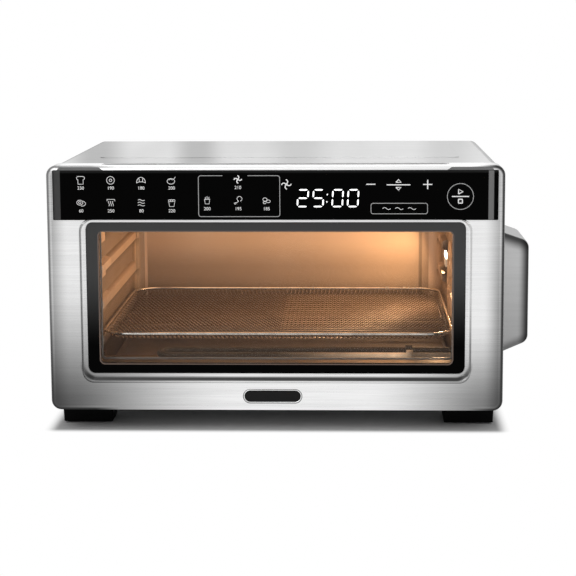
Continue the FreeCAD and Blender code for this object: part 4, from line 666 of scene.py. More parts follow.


# painted highlights and shade inside the cavity; the first entry only darkens its lower part
cavityTones = {
    "floor": (0.22, 0.062, 0.100),    # the darker lower part: share, from and to
    "guideTop": 0.0804, "guidePitch": 0.0325, "guideHeight": 0.011, "guideReach": 0.005,
    "guide": 0.78,                    # painted highlight: share of the brightness on the guides
    "between": 0.4,                   # and between them
    "under": (0.45, 0, 0.009),        # and painted shadow just below each guide, from and to
    "soft": (0.0008, 0.0005, 0.001, 0.010),    # where these shades start and end
    "back": (0.6, 0.104, 0.130),      # painted shade on the back's lower part, behind the basket: share, from and to
    "backDepth": 0.004,
    "crease": (0.1215, 0.1252),       # painted shade along a pressed line near its right end: from and to
    "creaseShare": 0.5,
    "flange": (-0.1668, 0.1, 0.5),    # painted shade on the left wall's folded rear edge: place, depth and share
    "forward": -0.6,
    "frontEnds": (-0.064, 0.018),     # painted highlights on the ends of the guides: how far back, and their height
    "endsRise": (0.5, 0.1, 0.13),     # how much of them is left low down, from and to
    "lampHalo": (0.03, 0.022),        # painted shade on the wall just round the lamp: share and reach
}


# The lower part of the cavity is darker.
def lowerCavityDark(spot):
    return fade(spot.z, cavityTones["floor"], smooth=True)


# Painted shade: the back of the cavity is also darker behind the basket and in its pressed line.
def shellShade(spot):
    look = cavityTones
    rear = spot.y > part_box("cavity_shell")[1].y - look["backDepth"]
    share, start, end = look["back"]
    low = rangeOf(spot.z, 1 - share, 0.0, start, end)
    line = bandOf(spot.x, *look["crease"]) * (1 - look["creaseShare"])
    return lowerCavityDark(spot) * (1 - low * rear) * (1 - line * rear)


# Painted light and shade: the rack guides are pale against the side walls, with a painted shadow
# line below each.
def wallShade(spot):
    look = cavityTones
    low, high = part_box("cavity_shell")
    wall, face, past, end = look["soft"]
    inward = (high.x - low.x) / 2 - abs(spot.x - (low.x + high.x) / 2)
    tone = rangeOf(inward, look["between"], look["guide"], wall, look["guideReach"] - face)
    tone += rangeOf(inward, 0.0, 1 - look["guide"], look["guideReach"] + past, end)
    below = addMath("WRAP", look["guideTop"] - spot.z, 0.0, look["guidePitch"])
    line = fade(below, look["under"], look["guideHeight"])
    onGuide = addMath("MAXIMUM", below < look["guideHeight"], inward > look["guideReach"] + face)
    tone *= addMath("MAXIMUM", line, onGuide)
    place, depth, share = look["flange"]
    forward = spot.faceY < look["forward"]
    tone *= 1 - (spot.x < place) * forward * (spot.y > depth) * (1 - share)
    before, tall = look["frontEnds"]
    ends = (spot.y < before) * (below < tall) * fade(spot.z, look["endsRise"])
    tone = addMath("MAXIMUM", tone, ends)
    lensLow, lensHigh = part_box("lamp_lens")
    share, reach = look["lampHalo"]
    away = reachPast(spot.y, spot.z, (lensLow.y, lensLow.z), (lensHigh.y, lensHigh.z))
    tone *= 1 - rangeOf(away, 1 - share, 0.0, 0.0, reach) * (spot.x > 0.0)
    return tone * lowerCavityDark(spot)


# painted lamplight on the frame inside the door
frameLook = {
    "left": (0.2, -0.012, 0.09),      # the bottom bar, brighter to the right
    "end": (0.2, 0.097, 0.108),       # and dark again at its end
    "barTop": 0.0632,
    "climb": (0.12, 0.95, 0.08, 0.165),     # the left bar, up its height
    "rightSide": (0.3, 0, 0.01),
}


# Painted lamplight: the frame inside the door is painted bright on the lamp's side and up its left
# bar.
def frameShade(spot):
    look = frameLook
    bottom = fade(spot.x, look["left"], smooth=True) * rangeOf(spot.x, 1.0, *look["end"])
    side = rangeOf(spot.z, *look["climb"]) * rangeOf(spot.x, 1.0, *look["rightSide"])
    return mixValues(spot.z > look["barTop"], bottom, side)


sheathLook = {
    "plain": 0.035, "glow": (-0.03, 0.09), "end": (0.15, 0.096, 0.106),
    "front": -0.080, "top": 0.07,      # only the lower element's front leg gets the painted glint
}


# Painted highlight: the lower element's front leg is painted bright towards the lamp.
def sheathShade(spot):
    look = sheathLook
    glow = rangeOf(spot.x, 0.0, 1.0, *look["glow"])
    glow *= glow * rangeOf(spot.x, 1.0, *look["end"])
    return glow * (spot.y < look["front"]) * (spot.z < look["top"]) + look["plain"]


# painted highlights and shade on the basket's net
netLook = {
    "middle": -0.016,
    "far": (0.12, -0.18, 0.18),       # share on the wires that lean inwards, and how they lean
    "under": (0.4, -0.2, 0.35),       # share on the undersides, and how they face
    "right": (0.66, 0.02, 0.08),      # share towards the right, from and to
    "rear": (0.66, -0.04, 0.06),
}


# Painted highlights and shade: on each half the wires that lean outwards are painted bright, the
# others dark, and so are the undersides; the net is also darker to the right and to the rear.
def netShade(spot):
    look = netLook
    half = addMath("SIGN", look["middle"] - spot.x)
    tone = fade(spot.faceX * spot.faceY * half, look["far"]) * fade(spot.faceZ, look["under"])
    return tone * rangeOf(spot.x, 1.0, *look["right"]) * rangeOf(spot.y, 1.0, *look["rear"])


windowLook = {
    "cornerRadius": 0.004,     # metres, of the clear middle
    "lap": (0.0058, 0.004),    # how far the print covers the inner glass, sides and ends
    "reflectionTop": 0.052,        # painted reflection on the printed border: its tone at the top of the window
    "borderLow": 0.0004,
    "fade": (0.075, 0.150),    # heights between which the painted reflection fades to black
    "lineWidth": 0.0009,       # thin bright line inside the print
    "lineTone": (0.16, 0.12, 0.10),
    "tintAlpha": 0.05,         # how much the clear middle takes away
    "outerPane": 0.005,        # the print is on the pane that lies this far before the other
}


# Window glass: the outer pane has a black printed border, with a painted reflection fading down it,
# and a clear middle.
def printedGlass():
    look = windowLook
    mat, shader, spot = newFinish("windowGlass", Roughness=0.03, Specular_IOR_Level=0.02)
    low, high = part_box("inner_window_glass")
    side, end = look["lap"]
    past = reachPast(spot.x, spot.z, (low.x + side, low.z + end), (high.x - side, high.z - end),
                     look["cornerRadius"])
    border = (past > 0.0) * (spot.y < low.y - look["outerPane"])
    rise = rangeOf(spot.z, 0.0, 1.0, *look["fade"], smooth=True)
    tone = toneBetween(rise, look["borderLow"], look["reflectionTop"])
    setShader(shader, Alpha=rangeOf(border, look["tintAlpha"], 1.0),
              Base_Color=toneBetween(past < look["lineWidth"], tone, look["lineTone"]))
    return mat


panelLook = {
    "face": 0.0003,
    "leftEnd": (-0.001, 0.0066, 0.055),     # painted reflection strip: from and to, metres from the left end, and tone
    "rightEnd": (0.0034, 0.0086, 0.15),
    "endSoft": 0.0005,
    # painted reflection along the top edge: its tone and height
    "topEdge": 0.022, "topBand": 0.0026,
}


# Gloss black glass with painted reflections: a grey strip at each end and a faint band along the
# top.
def panelGlass():
    look = panelLook
    mat, shader, spot = newFinish("panelGlass", Roughness=0.1, Specular_IOR_Level=0.02)
    broad = useGroup("stipple", spot.place, Scale=300.0)[1]
    low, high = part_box("control_glass")
    tone = rangeOf(broad, look["face"], look["face"] * 2)
    for key, away in (("leftEnd", spot.x - low.x), ("rightEnd", high.x - spot.x)):
        start, end, level = look[key]
        soft = look["endSoft"]
        tone += (rangeOf(away, 0, level, start, start + soft)
                 - rangeOf(away, 0, level, end - soft, end))
    tone += rangeOf(spot.z, 0.0, look["topEdge"], high.z - look["topBand"], high.z)
    setShader(shader, Base_Color=tone)
    return mat


lampLook = {
    "glass": ((0.9, 0.84, 0.7), (1.0, 0.97, 0.9)),
    "light": ((1.0, 0.80, 0.52), (1.0, 0.93, 0.78)), "strength": 9.0,
    "lower": (0.02, 0.011, 0.013),     # share low down, and where it turns bright
}


def lampGlow():
    look = lampLook
    mat, shader, spot = newFinish("lampGlass", Roughness=0.4)
    height = useGroup("stipple", spot.place, Scale=700.0)[0]
    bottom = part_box("lamp_lens")[0].z
    rise = fade(spot.z, look["lower"], bottom)
    warm = addNode(spot.tree, "VectorMath", operation="SCALE", in_Scale=rise,
                   in_0=toneBetween(height, *look["light"]))
    setShader(shader, Base_Color=toneBetween(height, *look["glass"]),
              Emission_Color=warm.outputs[0], Emission_Strength=look["strength"])
    return mat


# slot or part, material, dark, light and roughness, and what else it is given
plastics = (
    # the black plastic is made grey: partly its own colour, partly a painted sheen of the sloped
    # panel tabs
    ("black_plastic", "bezelPlastic", 0.10, 0.145, 0.42, {}),
    ("ceramic", "ceramic", (0.72, 0.69, 0.62), (0.84, 0.82, 0.77), 0.6, {"grain": 900.0}),
    ("board", "boardLaminate", (0.012, 0.07, 0.03), (0.02, 0.11, 0.05), 0.4, {"grain": 500.0}),
    ("display", "displayBlock", (0.012, 0.012, 0.014), (0.02, 0.02, 0.022), 0.35, {}),
    ("seal", "siliconeSeal", 0.02, 0.035, 0.6, {}),
    ("black_frame", "blackenedFrame", 0.012, 0.025, 0.5, {}),
    ("foot", "footPlastic", 0.001, 0.003, 0.55, {"Specular_IOR_Level": 0.04}),
    ("foot_rubber", "footRubber", 0.02, 0.04, 0.75, {"grain": 1200.0}),
    ("badgeField", "badgeEnamel", 0.004, 0.009, 0.4, {"Specular_IOR_Level": 0.12}),
)

sheets = (
    ("zinc_plate", "zincPlate", (0.46, 0.47, 0.48), (0.60, 0.61, 0.62), 0.42, {"spangled": True}),
    # the warm tint of this plate and of the wall plate is partly their own colour, partly painted
    # lamplight
    ("cavity_plate", "cavityPlate", (0.03, 0.023, 0.018), (0.80, 0.62, 0.46), 0.45,
     {"shade": shellShade, "patchShare": 0.1, "metallic": 0.4}),
    ("innerPlate", "innerPlate", (0.50, 0.49, 0.475), (0.64, 0.63, 0.615), 0.36, {}),
    ("wallPlate", "wallPlate", (0.03, 0.023, 0.018), (0.97, 0.77, 0.59), 0.45,
     {"shade": wallShade, "patchShare": 0.1, "metallic": 0.4}),
    ("wire", "brightWire", (0.50, 0.48, 0.45), (0.78, 0.75, 0.70), 0.22, {"patchScale": 60.0}),
    ("mesh", "wovenWire", (0.025, 0.017, 0.012), (0.62, 0.47, 0.35), 0.5,
     {"patchScale": 80.0, "patchShare": 0.3, "metallic": 0.25, "shade": netShade}),
    # the sheath's glint is painted, and its glow makes it shine though it is no lamp
    ("element", "sheathPaintedGlint", (0.008, 0.007, 0.006), (0.98, 0.70, 0.46), 0.5,
     {"metallic": 0.6, "patchScale": 70.0, "patchShare": 0.3, "shade": sheathShade,
      "glow": 0.5}),
    ("copper", "woundCopper", (0.38, 0.17, 0.08), (0.62, 0.32, 0.16), 0.35,
     {"patchScale": 120.0}),
    ("screw", "platedScrew", (0.44, 0.44, 0.45), (0.64, 0.64, 0.65), 0.3, {"patchScale": 200.0}),
    ("black_screw", "blackScrew", (0.02, 0.02, 0.022), (0.05, 0.05, 0.055), 0.38,
     {"metallic": 0.7, "patchScale": 200.0}),
    ("tray", "trayPlate", (0.17, 0.155, 0.148), (0.27, 0.25, 0.24), 0.4, {"metallic": 0.7}),
    # painted lamplight on the dark frame
    ("windowFrame", "framePaintedLamplight", (0.012, 0.008, 0.006), (0.50, 0.345, 0.20), 0.4,
     {"metallic": 0.6, "patchShare": 0.1, "shade": frameShade}),
    # painted light: the finger cup is pale so its shaded gap reads as bright as the lip
    ("cupPaintedPale", "cupPaintedPale", 0.72, 0.86, 0.3, {}),
    ("badgeRim", "badgeRimMetal", 0.85, 0.95, 0.25, {}),
)

# nodes that look different from the rest of their slot
special = {
    "door_skin": "doorSteel", "handle_cup": "cupPaintedPale", "left_cavity_wall": "wallPlate",
    "right_cavity_wall": "wallPlate", "window_frame": "windowFrame",
    "front_bulkhead": "innerPlate", "door_inner_panel": "innerPlate",
}


def makeFinishes():
    made = {
        # the door's face and the wrap are one steel: the door's paler tone is painted light, the
        # wrap's darker one painted shade
        "doorSteel": brushedMetal("doorSteel", 0.035, 0.98, 0.3, 0.16, 0.07, doorShade, doorLean),
        "steel_skin": brushedMetal("wrapSteel", 0.03, 0.70, 0.36, 0.16, 0.1, wrapShade, wrapLean),
        "satin_steel": brushedMetal("satinSteel", 0.01, 0.60, 0.4, 0.12, 0.06, coverShade,
                                    Along=30, Across=2200),
        "black_glass": panelGlass(),
        "clear_glass": printedGlass(),
        "lamp_glass": lampGlow(),
    }
    for build, table in ((mouldedPlastic, plastics), (plainSheet, sheets)):
        for slot, name, dark, light, rough, more in table:
            made[slot] = build(name, dark, light, rough, **more)
    return made


# Give every carried-over solid the finish of its slot.
def dressNodes(finishes):
    for name, solid in nodes.items():
        finish = finishes[special.get(name, slotOf[name])]
        if not solid.material_slots:
            solid.data.materials.append(finish)
        for place in solid.material_slots:
            place.material = finish


# Woven basket

basketWeave = {
    "pitch": 4.3,         # mm from wire to wire before the net is drawn out
    "wireRadius": 0.44,
    "sides": 4,           # faces round a wire
    "turn": 45,           # degrees between the wires and the rim
    "drawn": (0.65, 1.79),    # then narrowed and drawn out towards the back
    "edgeBand": 5.5,      # how far from the rim the weave starts to drop
    "cornerRadius": 22.0,
}


def repeatAlong(wire, move, count, merged=False):
    repeat = wire.modifiers.new("repeat", "ARRAY")
    repeat.use_relative_offset = False
    repeat.use_constant_offset = True
    repeat.constant_offset_displace = move
    repeat.count = count
    repeat.use_merge_vertices = merged
    repeat.merge_threshold = mm / 100
    bpy.ops.object.modifier_apply(modifier=repeat.name)


# One wire: a single wave is extruded and an array repeats it.
def weaveWire(name, alongX, length, count, sign):
    w = basketWeave
    pitch, rise = w["pitch"] * mm, w["wireRadius"] * mm * sign
    turn = (0, math.radians(90), 0) if alongX else (math.radians(-90), 0, 0)
    deselectAll()
    bpy.ops.mesh.primitive_circle_add(vertices=w["sides"], radius=w["wireRadius"] * mm,
                                      location=(0, 0, 0), rotation=turn)
    wire = applyAll(bpy.context.object)
    wire.name = name
    setMode("EDIT")
    bpy.ops.mesh.select_all(action="SELECT")
    for step in (rise, -rise, -rise, rise):
        move = (pitch / 2, 0, step) if alongX else (0, pitch / 2, step)
        bpy.ops.mesh.extrude_region_move(TRANSFORM_OT_translate={"value": move})
    setMode("OBJECT")
    ways = [(2 * pitch, 0, 0), (0, 2 * pitch, 0)]
    if not alongX:
        ways.reverse()
    repeatAlong(wire, ways[0], math.ceil(length / (2 * pitch)), merged=True)
    repeatAlong(wire, ways[1], count)
    return wire


def makeBasketWeave(finishes):
    w = basketWeave
    low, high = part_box("basket_mesh")
    pitch = w["pitch"] * mm
    wide, deep = (high.x - low.x) / w["drawn"][0], (high.y - low.y) / w["drawn"][1]
    reach = (wide + deep) / math.sqrt(2)
    count = int(reach / pitch)
    start = -(count - 1) * pitch / 2
    wires = []
    for odd in (0, 1):
        sign = 1 if odd else -1
        half = (count + 1 - odd) // 2
        weft = weaveWire(f"weft{odd}", True, reach, half, sign)
        weft.location = (start - pitch, start + odd * pitch, 0)
        warp = weaveWire(f"warp{odd}", False, reach, half, -sign)
        warp.location = (start + odd * pitch, start - pitch, 0)
        wires += [applyAll(weft), applyAll(warp)]
    weave = joinAll(wires, "basket_weave")
    weave.rotation_euler = (0, 0, math.radians(w["turn"]))
    applyAll(weave)
    weave.scale = (*w["drawn"], 1)
    weave.location = (*middleOf((low, high)).xy, 0)
    applyAll(weave)
    shapeTray(weave, low, high)
    finishPiece(weave, "basket", "mesh", finishes["mesh"], "basket_mesh")


# How far a point lies inside the rounded plan, negative outside.
def planDistance(point, middle, halfX, halfY, corner):
    dx = abs(point.x - middle.x) - (halfX - corner)
    dy = abs(point.y - middle.y) - (halfY - corner)
    outside = math.hypot(max(dx, 0), max(dy, 0))
    return corner - outside - min(max(dx, dy), 0)


# Trim the net to the rim and press its middle down.
def shapeTray(weave, low, high):
    w = basketWeave
    middle = middleOf((low, high))
    halfX, halfY = (high.x - low.x) / 2, (high.y - low.y) / 2
    corner, band = w["cornerRadius"] * mm, w["edgeBand"] * mm
    wire = 2 * w["wireRadius"] * mm
    floor, top = low.z + wire, high.z - wire
    takeUp(weave)
    setMode("EDIT")
    bpy.ops.mesh.select_mode(type="VERT")
    bpy.ops.mesh.select_all(action="DESELECT")
    setMode("OBJECT")
    for vertex in weave.data.vertices:
        depth = planDistance(vertex.co, middle, halfX, halfY, corner)
        vertex.select = depth < 0
        share = min(max(depth / band, 0), 1)
        vertex.co.z += top + (floor - top) * share * share * (3 - 2 * share)
    setMode("EDIT")
    bpy.ops.mesh.delete(type="VERT")
    setMode("OBJECT")


# Print on the touch panel, in mm from the middle of its glass

panelPrint = {
    "standOut": 0.12,         # how far the middle of the print lies before the glass
    "thick": 0.1,
    "iconPen": 0.5,           # widths of the lines
    "framePen": 0.7,
    "signPen": 1.05,
    "digitPen": 1.5,
    "iconSize": 0.79,
    "columns": (-169.2, -143.0, -116.4, -89.8),
    "iconRows": (13.1, -6.6),
    "numberRows": (6.2, -13.8),
    "numbers": (("230", "190", "180", "200"), ("60", "250", "80", "220")),
    "numberSize": 4.0,
    "frame": (-66.4, 4.4, -18.8, 17.0),     # left, right, bottom, top
    "frameGap": (-45.4, -23.6),
    "frameCorner": 2.2,
    "frameIcons": ((-58.9, -4.3), (-31.8, -4.3), (-7.2, -4.3)),
    "frameNumbers": (("210", -32.0, 6.6), ("200", -58.9, -12.0), ("195", -31.8, -12.0),
                     ("185", -7.2, -12.0)),
    "fans": ((-32.0, 13.8, 3.7), (10.2, 9.4, 4.6)),
    "minus": (83.4, 9.4),
    "plus": (132.6, 9.2),
    "signHalf": 4.0,
    "stepSign": (107.4, 8.9, 10.3),         # the bar with an arrow above and below it
    "arrow": (2.2, 2.2, 4.6),               # half its width, and its foot and tip
    "modeBox": (83.6, 132.6, -16.4, -7.2),
    "modeCorner": 1.8,
    "modeWaves": (11.0, 7.0, 0.9),          # pitch, length and swing
    "startRing": (161.0, -1.3, 11.3),
    "startBarHalf": 7.4,
    "startArrow": ((-1.6, 2.2), (-1.6, 6.2), (2.2, 4.2), (-1.6, 2.2)),
    "stopBox": (-1.7, 1.7, -5.8, -2.4, 0.3),
}

digitLook = {
    "left": 19.6, "bottom": -10.0,
    "width": 10.3, "height": 14.6, "pitch": 13.4, "colonRoom": 3.4,
    "colon": (0.28, 0.72),            # its dots, in shares of the height
    "dot": (-0.5, -0.2, 0.2, 0.5),
    "slant": 0.06, "gap": 1.35, "tip": 0.35,
    "taper": (-0.09, 0.09, 0.91, 1.09),     # a bar is full between the middle two
    "shown": "25:00",
}

segmentsLit = {"0": "abcdef", "1": "bc", "2": "abged", "3": "abgcd", "4": "fgbc", "5": "afgcd",
               "6": "afgedc", "7": "abc", "8": "abcdefg", "9": "abcdfg"}


def arcOf(x, z, radius, start=0, end=360, squash=1.0, steps=16):
    turns = [math.radians(start + (end - start) * step / steps) for step in range(steps + 1)]
    return [(x + radius * math.cos(turn), z + radius * squash * math.sin(turn))
            for turn in turns]


def waveOf(x, z, length, swing, upright=False, steps=14):
    points = []
    for step in range(steps + 1):
        along = length * (step / steps - 0.5)
        away = swing * math.sin(2 * math.pi * step / steps)
        points.append((x + away, z + along) if upright else (x + along, z + away))
    return points


# A rounded frame, drawn from the right of the gap round to its left.
def boxOf(left, right, bottom, top, corner, gap=None):
    middle = (left + right) / 2
    gapLeft, gapRight = gap or (middle, middle)
    points = [(gapRight, top)]
    for x, z, start in ((right, top, 90), (right, bottom, 0), (left, bottom, -90),
                        (left, top, -180)):
        inX = x - math.copysign(corner, x - middle)
        inZ = z - math.copysign(corner, z - (bottom + top) / 2)
        points += arcOf(inX, inZ, corner, start, start - 90, steps=6)
    return points + [(gapLeft, top)]


fanSign = {"out": 0.52, "bend": 0.42, "turn": 20, "start": 200, "sweep": 150}


# Four curved blades round a hub.
def fanOf(x, z, size):
    blades = []
    for quarter in (0, 90, 180, 270):
        turn = math.radians(quarter + fanSign["turn"])
        middleX = x + size * fanSign["out"] * math.cos(turn)
        middleZ = z + size * fanSign["out"] * math.sin(turn)
        start = quarter + fanSign["start"]
        blades.append(arcOf(middleX, middleZ, size * fanSign["bend"], start,
                            start + fanSign["sweep"], steps=8))
    return blades


# Plain kitchen signs, each about 9 mm wide and drawn round its own middle.
def cookingIcons():
    loaf = [(-2.9, -4.3), (-2.9, 0.6)] + arcOf(-2.5, 2.4, 1.9, 235, 90, steps=6)
    loaf += arcOf(2.5, 2.4, 1.9, 90, -55, steps=6) + [(2.9, 0.6), (2.9, -4.3), (-2.9, -4.3)]
    ring = [arcOf(0, 0, 4.3), arcOf(0, 0, 1.5, steps=10)]
    crescent = [arcOf(0, -2.6, 4.9, 0, 180, 1.2) + arcOf(0, -3.4, 4.9, 170, 10, 0.35)]
    crescent += [[(-1.6, -1.6), (-2.2, 2.4)], [(1.6, -1.6), (2.2, 2.4)]]
    roast = [arcOf(-0.6, -1.2, 4.2, squash=0.72), [(2.4, 1.2), (4.4, 3.6)],
             arcOf(-0.9, -0.6, 2.0, 20, 160, steps=8)]
    slices = [arcOf(-1.3, 0.2, 3.4, squash=0.8), arcOf(1.6, -0.9, 3.4, -120, 80, 0.8),
              arcOf(-1.3, 0.2, 1.5, squash=0.8, steps=10)]
    grill = [[(-4.3, 1.8), (-4.3, 3.8), (4.3, 3.8), (4.3, 1.8)]]
    grill += [waveOf(x, -0.9, 5.6, 0.5, upright=True) for x in (-2.2, 0.0, 2.2)]
    warm = [waveOf(0, z, 7.6, 0.7) for z in (2.9, 0.0, -2.9)]
    tub = [[(-3.4, 1.4), (-2.4, -4.2), (2.4, -4.2), (3.4, 1.4), (-3.4, 1.4)]]
    tub += [arcOf(x, 2.2, 1.3, -20, 200, steps=8) for x in (-2.3, 0.0, 2.3)]
    sticks = [[(-2.9, 0.8), (-2.2, -4.2), (2.2, -4.2), (2.9, 0.8), (-2.9, 0.8)]]
    sticks += [[(x, 0.8), (x, top)] for x, top in ((-1.9, 3.4), (0.0, 4.2), (1.9, 3.4))]
    wing = [arcOf(1.4, 1.4, 2.7, -70, 250), [(0.5, -1.2), (-2.8, -3.6)],
            arcOf(-3.4, -3.7, 0.9, steps=8)]
    bites = [arcOf(-1.7, 0.6, 2.3, squash=0.8), arcOf(2.0, -1.4, 2.2, squash=0.7),
             arcOf(-2.0, -2.8, 1.7, 20, 330, 0.7)]
    return {"rows": (([loaf], ring, crescent, roast), (slices, grill, warm, tub)),
            "frame": (sticks, wing, bites)}


def shifted(strokes, x, z, size=1.0):
    return [[(x + across * size, z + up * size) for across, up in points] for points in strokes]


def panelMiddle():
    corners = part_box("control_glass")
    place = middleOf(corners)
    place.y = corners[0].y - panelPrint["standOut"] * mm
    return place


# Lines drawn with a round pen, pressed flat and stood upright at their place.
def drawLines(name, strokes, pen, place, thick=panelPrint["thick"], tip=1.0):
    deselectAll()
    bpy.ops.curve.primitive_nurbs_path_add(radius=mm)
    lines = bpy.context.object
    lines.name = name
    lines.data.splines.clear()
    lines.data.bevel_depth = pen / 2 * mm
    lines.data.bevel_resolution = 1
    lines.data.use_fill_caps = True
    for points in strokes:
        spline = lines.data.splines.new("POLY")
        spline.points.add(len(points) - 1)
        for point, (across, up) in zip(spline.points, points):
            point.co = (across * mm, 0, up * mm, 1)
        spline.points[0].radius = spline.points[-1].radius = tip
    takeUp(lines)
    bpy.ops.object.convert(target="MESH")
    lines = bpy.context.object
    lines.scale = (1, thick / pen, 1)
    applyAll(lines)
    lines.location = place
    applyAll(lines)
    bpy.ops.object.shade_smooth()
    return lines


def makeText(label, x, z, place, height):
    deselectAll()
    bpy.ops.object.text_add(location=(0, 0, 0))
    word = bpy.context.object
    word.data.body = label
    word.data.size = height * mm
    word.data.align_x = word.data.align_y = "CENTER"
    word.data.extrude = panelPrint["thick"] / 2 * mm
    bpy.ops.object.convert(target="MESH")
    word = bpy.context.object
    word.rotation_euler = (math.radians(90), 0, 0)
    word.location = (place.x + x * mm, place.y, place.z + z * mm)
    return applyAll(word)


# The signs and numbers in their rows and in the frame.
def iconsAndNumbers():
    look = panelPrint
    icons = cookingIcons()
    strokes, numbers = [], []
    for row, drawn in enumerate(icons["rows"]):
        for column, icon in enumerate(drawn):
            x = look["columns"][column]
            strokes += shifted(icon, x, look["iconRows"][row], look["iconSize"])
            numbers.append((look["numbers"][row][column], x, look["numberRows"][row]))
    for icon, (x, z) in zip(icons["frame"], look["frameIcons"]):
        strokes += shifted(icon, x, z, look["iconSize"])
    left, right, bottom, top = look["modeBox"]
    pitch, length, swing = look["modeWaves"]
    strokes += [waveOf((left + right) / 2 + step, (bottom + top) / 2, length, swing)
                for step in (-pitch, 0.0, pitch)]
    return strokes, [*numbers, *look["frameNumbers"]]


# The strong signs: plus, minus, step, start and the fans.
def boldSigns():
    look = panelPrint
    half, bar = look["signHalf"], look["startBarHalf"]
    (minusX, minusZ), (plusX, plusZ) = look["minus"], look["plus"]
    stepX, stepZ, stepHalf = look["stepSign"]
    ringX, ringZ, size = look["startRing"]
    signs = [[(x - reach, z), (x + reach, z)]
             for x, z, reach in ((minusX, minusZ, half), (plusX, plusZ, half),
                                 (stepX, stepZ, stepHalf), (ringX, ringZ, bar))]
    signs.append([(plusX, plusZ - half), (plusX, plusZ + half)])
    side, foot, tip = look["arrow"]
    for way in (1, -1):
        arrow = [(-side, way * foot), (0, way * tip), (side, way * foot), (-side, way * foot)]
        signs += shifted([arrow], stepX, stepZ)
    signs += shifted([look["startArrow"], boxOf(*look["stopBox"])], ringX, ringZ)
    for fan in look["fans"]:
        signs += fanOf(*fan)
    return signs


def makePanelPrint(inks):
    look = panelPrint
    place = panelMiddle()
    icons, numbers = iconsAndNumbers()
    frames = [boxOf(*look["frame"], look["frameCorner"], look["frameGap"]),
              boxOf(*look["modeBox"], look["modeCorner"]), arcOf(*look["startRing"], steps=48)]
    for name, strokes, pen, ink in (("panel_icons", icons, "iconPen", "print"),
                                    ("panel_frames", frames, "framePen", "frame"),
                                    ("panel_signs", boldSigns(), "signPen", "print")):
        drawn = drawLines(name, strokes, look[pen], place)
        finishPiece(drawn, "door", "black_glass", inks[ink])
    words = [makeText(label, x, z, place, look["numberSize"]) for label, x, z in numbers]
    finishPiece(joinAll(words, "panel_numbers"), "door", "black_glass", inks["print"])


# The lit bars of one seven-bar figure.
def digitStrokes(figure, left, bottom):
    d = digitLook
    right, top, gap = d["width"] - panelPrint["digitPen"], d["height"], d["gap"]
    half = top / 2
    bars = {"a": ((gap, top), (right - gap, top)), "g": ((gap, half), (right - gap, half)),
            "d": ((gap, 0), (right - gap, 0)),
            "f": ((0, half + gap), (0, top - gap)), "e": ((0, gap), (0, half - gap)),
            "b": ((right, half + gap), (right, top - gap)),
            "c": ((right, gap), (right, half - gap))}
    strokes = []
    for bar in segmentsLit[figure]:
        start, end = (Vector(point) for point in bars[bar])
        points = [start.lerp(end, share) for share in d["taper"]]
        strokes.append([(left + across + d["slant"] * up, bottom + up) for across, up in points])
    return strokes


def makeDisplay(inks):
    d = digitLook
    strokes, left = [], d["left"]
    for figure in d["shown"]:
        if figure == ":":
            for share in d["colon"]:
                up = share * d["height"]
                x, z = left - d["gap"] + d["slant"] * up, d["bottom"] + up
                strokes.append([(x + step, z) for step in d["dot"]])
            left += d["colonRoom"]
            continue
        strokes += digitStrokes(figure, left, d["bottom"])
        left += d["pitch"]
    drawn = drawLines("display_digits", strokes, panelPrint["digitPen"], panelMiddle(),
                      tip=d["tip"])
    finishPiece(drawn, "door", "display", inks["lit"])


# Bare plate in the door's recess, and crosses in the screws

def makeBadgePlate(finishes):
    plate = badgePlate
    width, height = plate["size"]
    half = (width - height) / 2 * mm
    x, z = (value * mm for value in plate["middle"])
    sides = plate["sides"]
    deselectAll()
    bpy.ops.mesh.primitive_circle_add(
        vertices=sides, radius=height / 2 * mm, fill_type="NGON",
        location=(x, plate["seat"] * mm, z),
        rotation=(math.radians(90), math.radians(180 / sides), 0))
    field = applyAll(bpy.context.object)
    field.name = "badge_plate"
    for vertex in field.data.vertices:
        vertex.co.x += math.copysign(half, vertex.co.x - x)
    takeUp(field)
    setMode("EDIT")
    bpy.ops.mesh.select_mode(type="FACE")
    bpy.ops.mesh.select_all(action="SELECT")
    bpy.ops.mesh.extrude_region_move(TRANSFORM_OT_translate={"value": (0, -plate["thick"] * mm, 0)})
    bpy.ops.mesh.inset(thickness=plate["rimPen"] * mm)
    bpy.ops.transform.translate(value=(0, plate["sunk"] * mm, 0))
    bpy.ops.mesh.select_all(action="SELECT")
    bpy.ops.mesh.normals_make_consistent(inside=False)
    setMode("OBJECT")
    finishPiece(field, "door", "black_glass", finishes["badgeField"])
    edge = boxOf(-width / 2, width / 2, -height / 2, height / 2, height / 2 - 0.01)
    place = Vector((x, (plate["seat"] - plate["thick"]) * mm, z))
    rim = drawLines("badge_rim", [edge], plate["rimPen"], place, plate["rimThick"])
    finishPiece(rim, "door", "satin_steel", finishes["badgeRim"])


crossedScrews = {     # the way each node's heads face
    "rear_panel_screws": (0, 1, 0),
    "cover_screws": (1, 0, 0),
    "foot_screws": (0, 0, -1),
    "base_screws": (0, 0, -1),
    "inner_panel_screws": (0, 1, 0),
}
crossLook = {"reach": 0.62, "width": 0.2, "depth": 0.9, "smooth": 35}     # shares of the head,
                                                                          # mm and degrees


# The two bars of a cross-shaped cutter, as deep as the driver goes in.
def makeCross(radius):
    arms = []
    for turn in (0, 90):
        deselectAll()
        bpy.ops.mesh.primitive_cube_add(size=1)
        arm = bpy.context.object
        arm.scale = (2 * radius * crossLook["reach"], 2 * radius * crossLook["width"],
                     2 * crossLook["depth"] * mm)
        arm.rotation_euler = (0, 0, math.radians(turn))
        arms.append(applyAll(arm))
    return arms


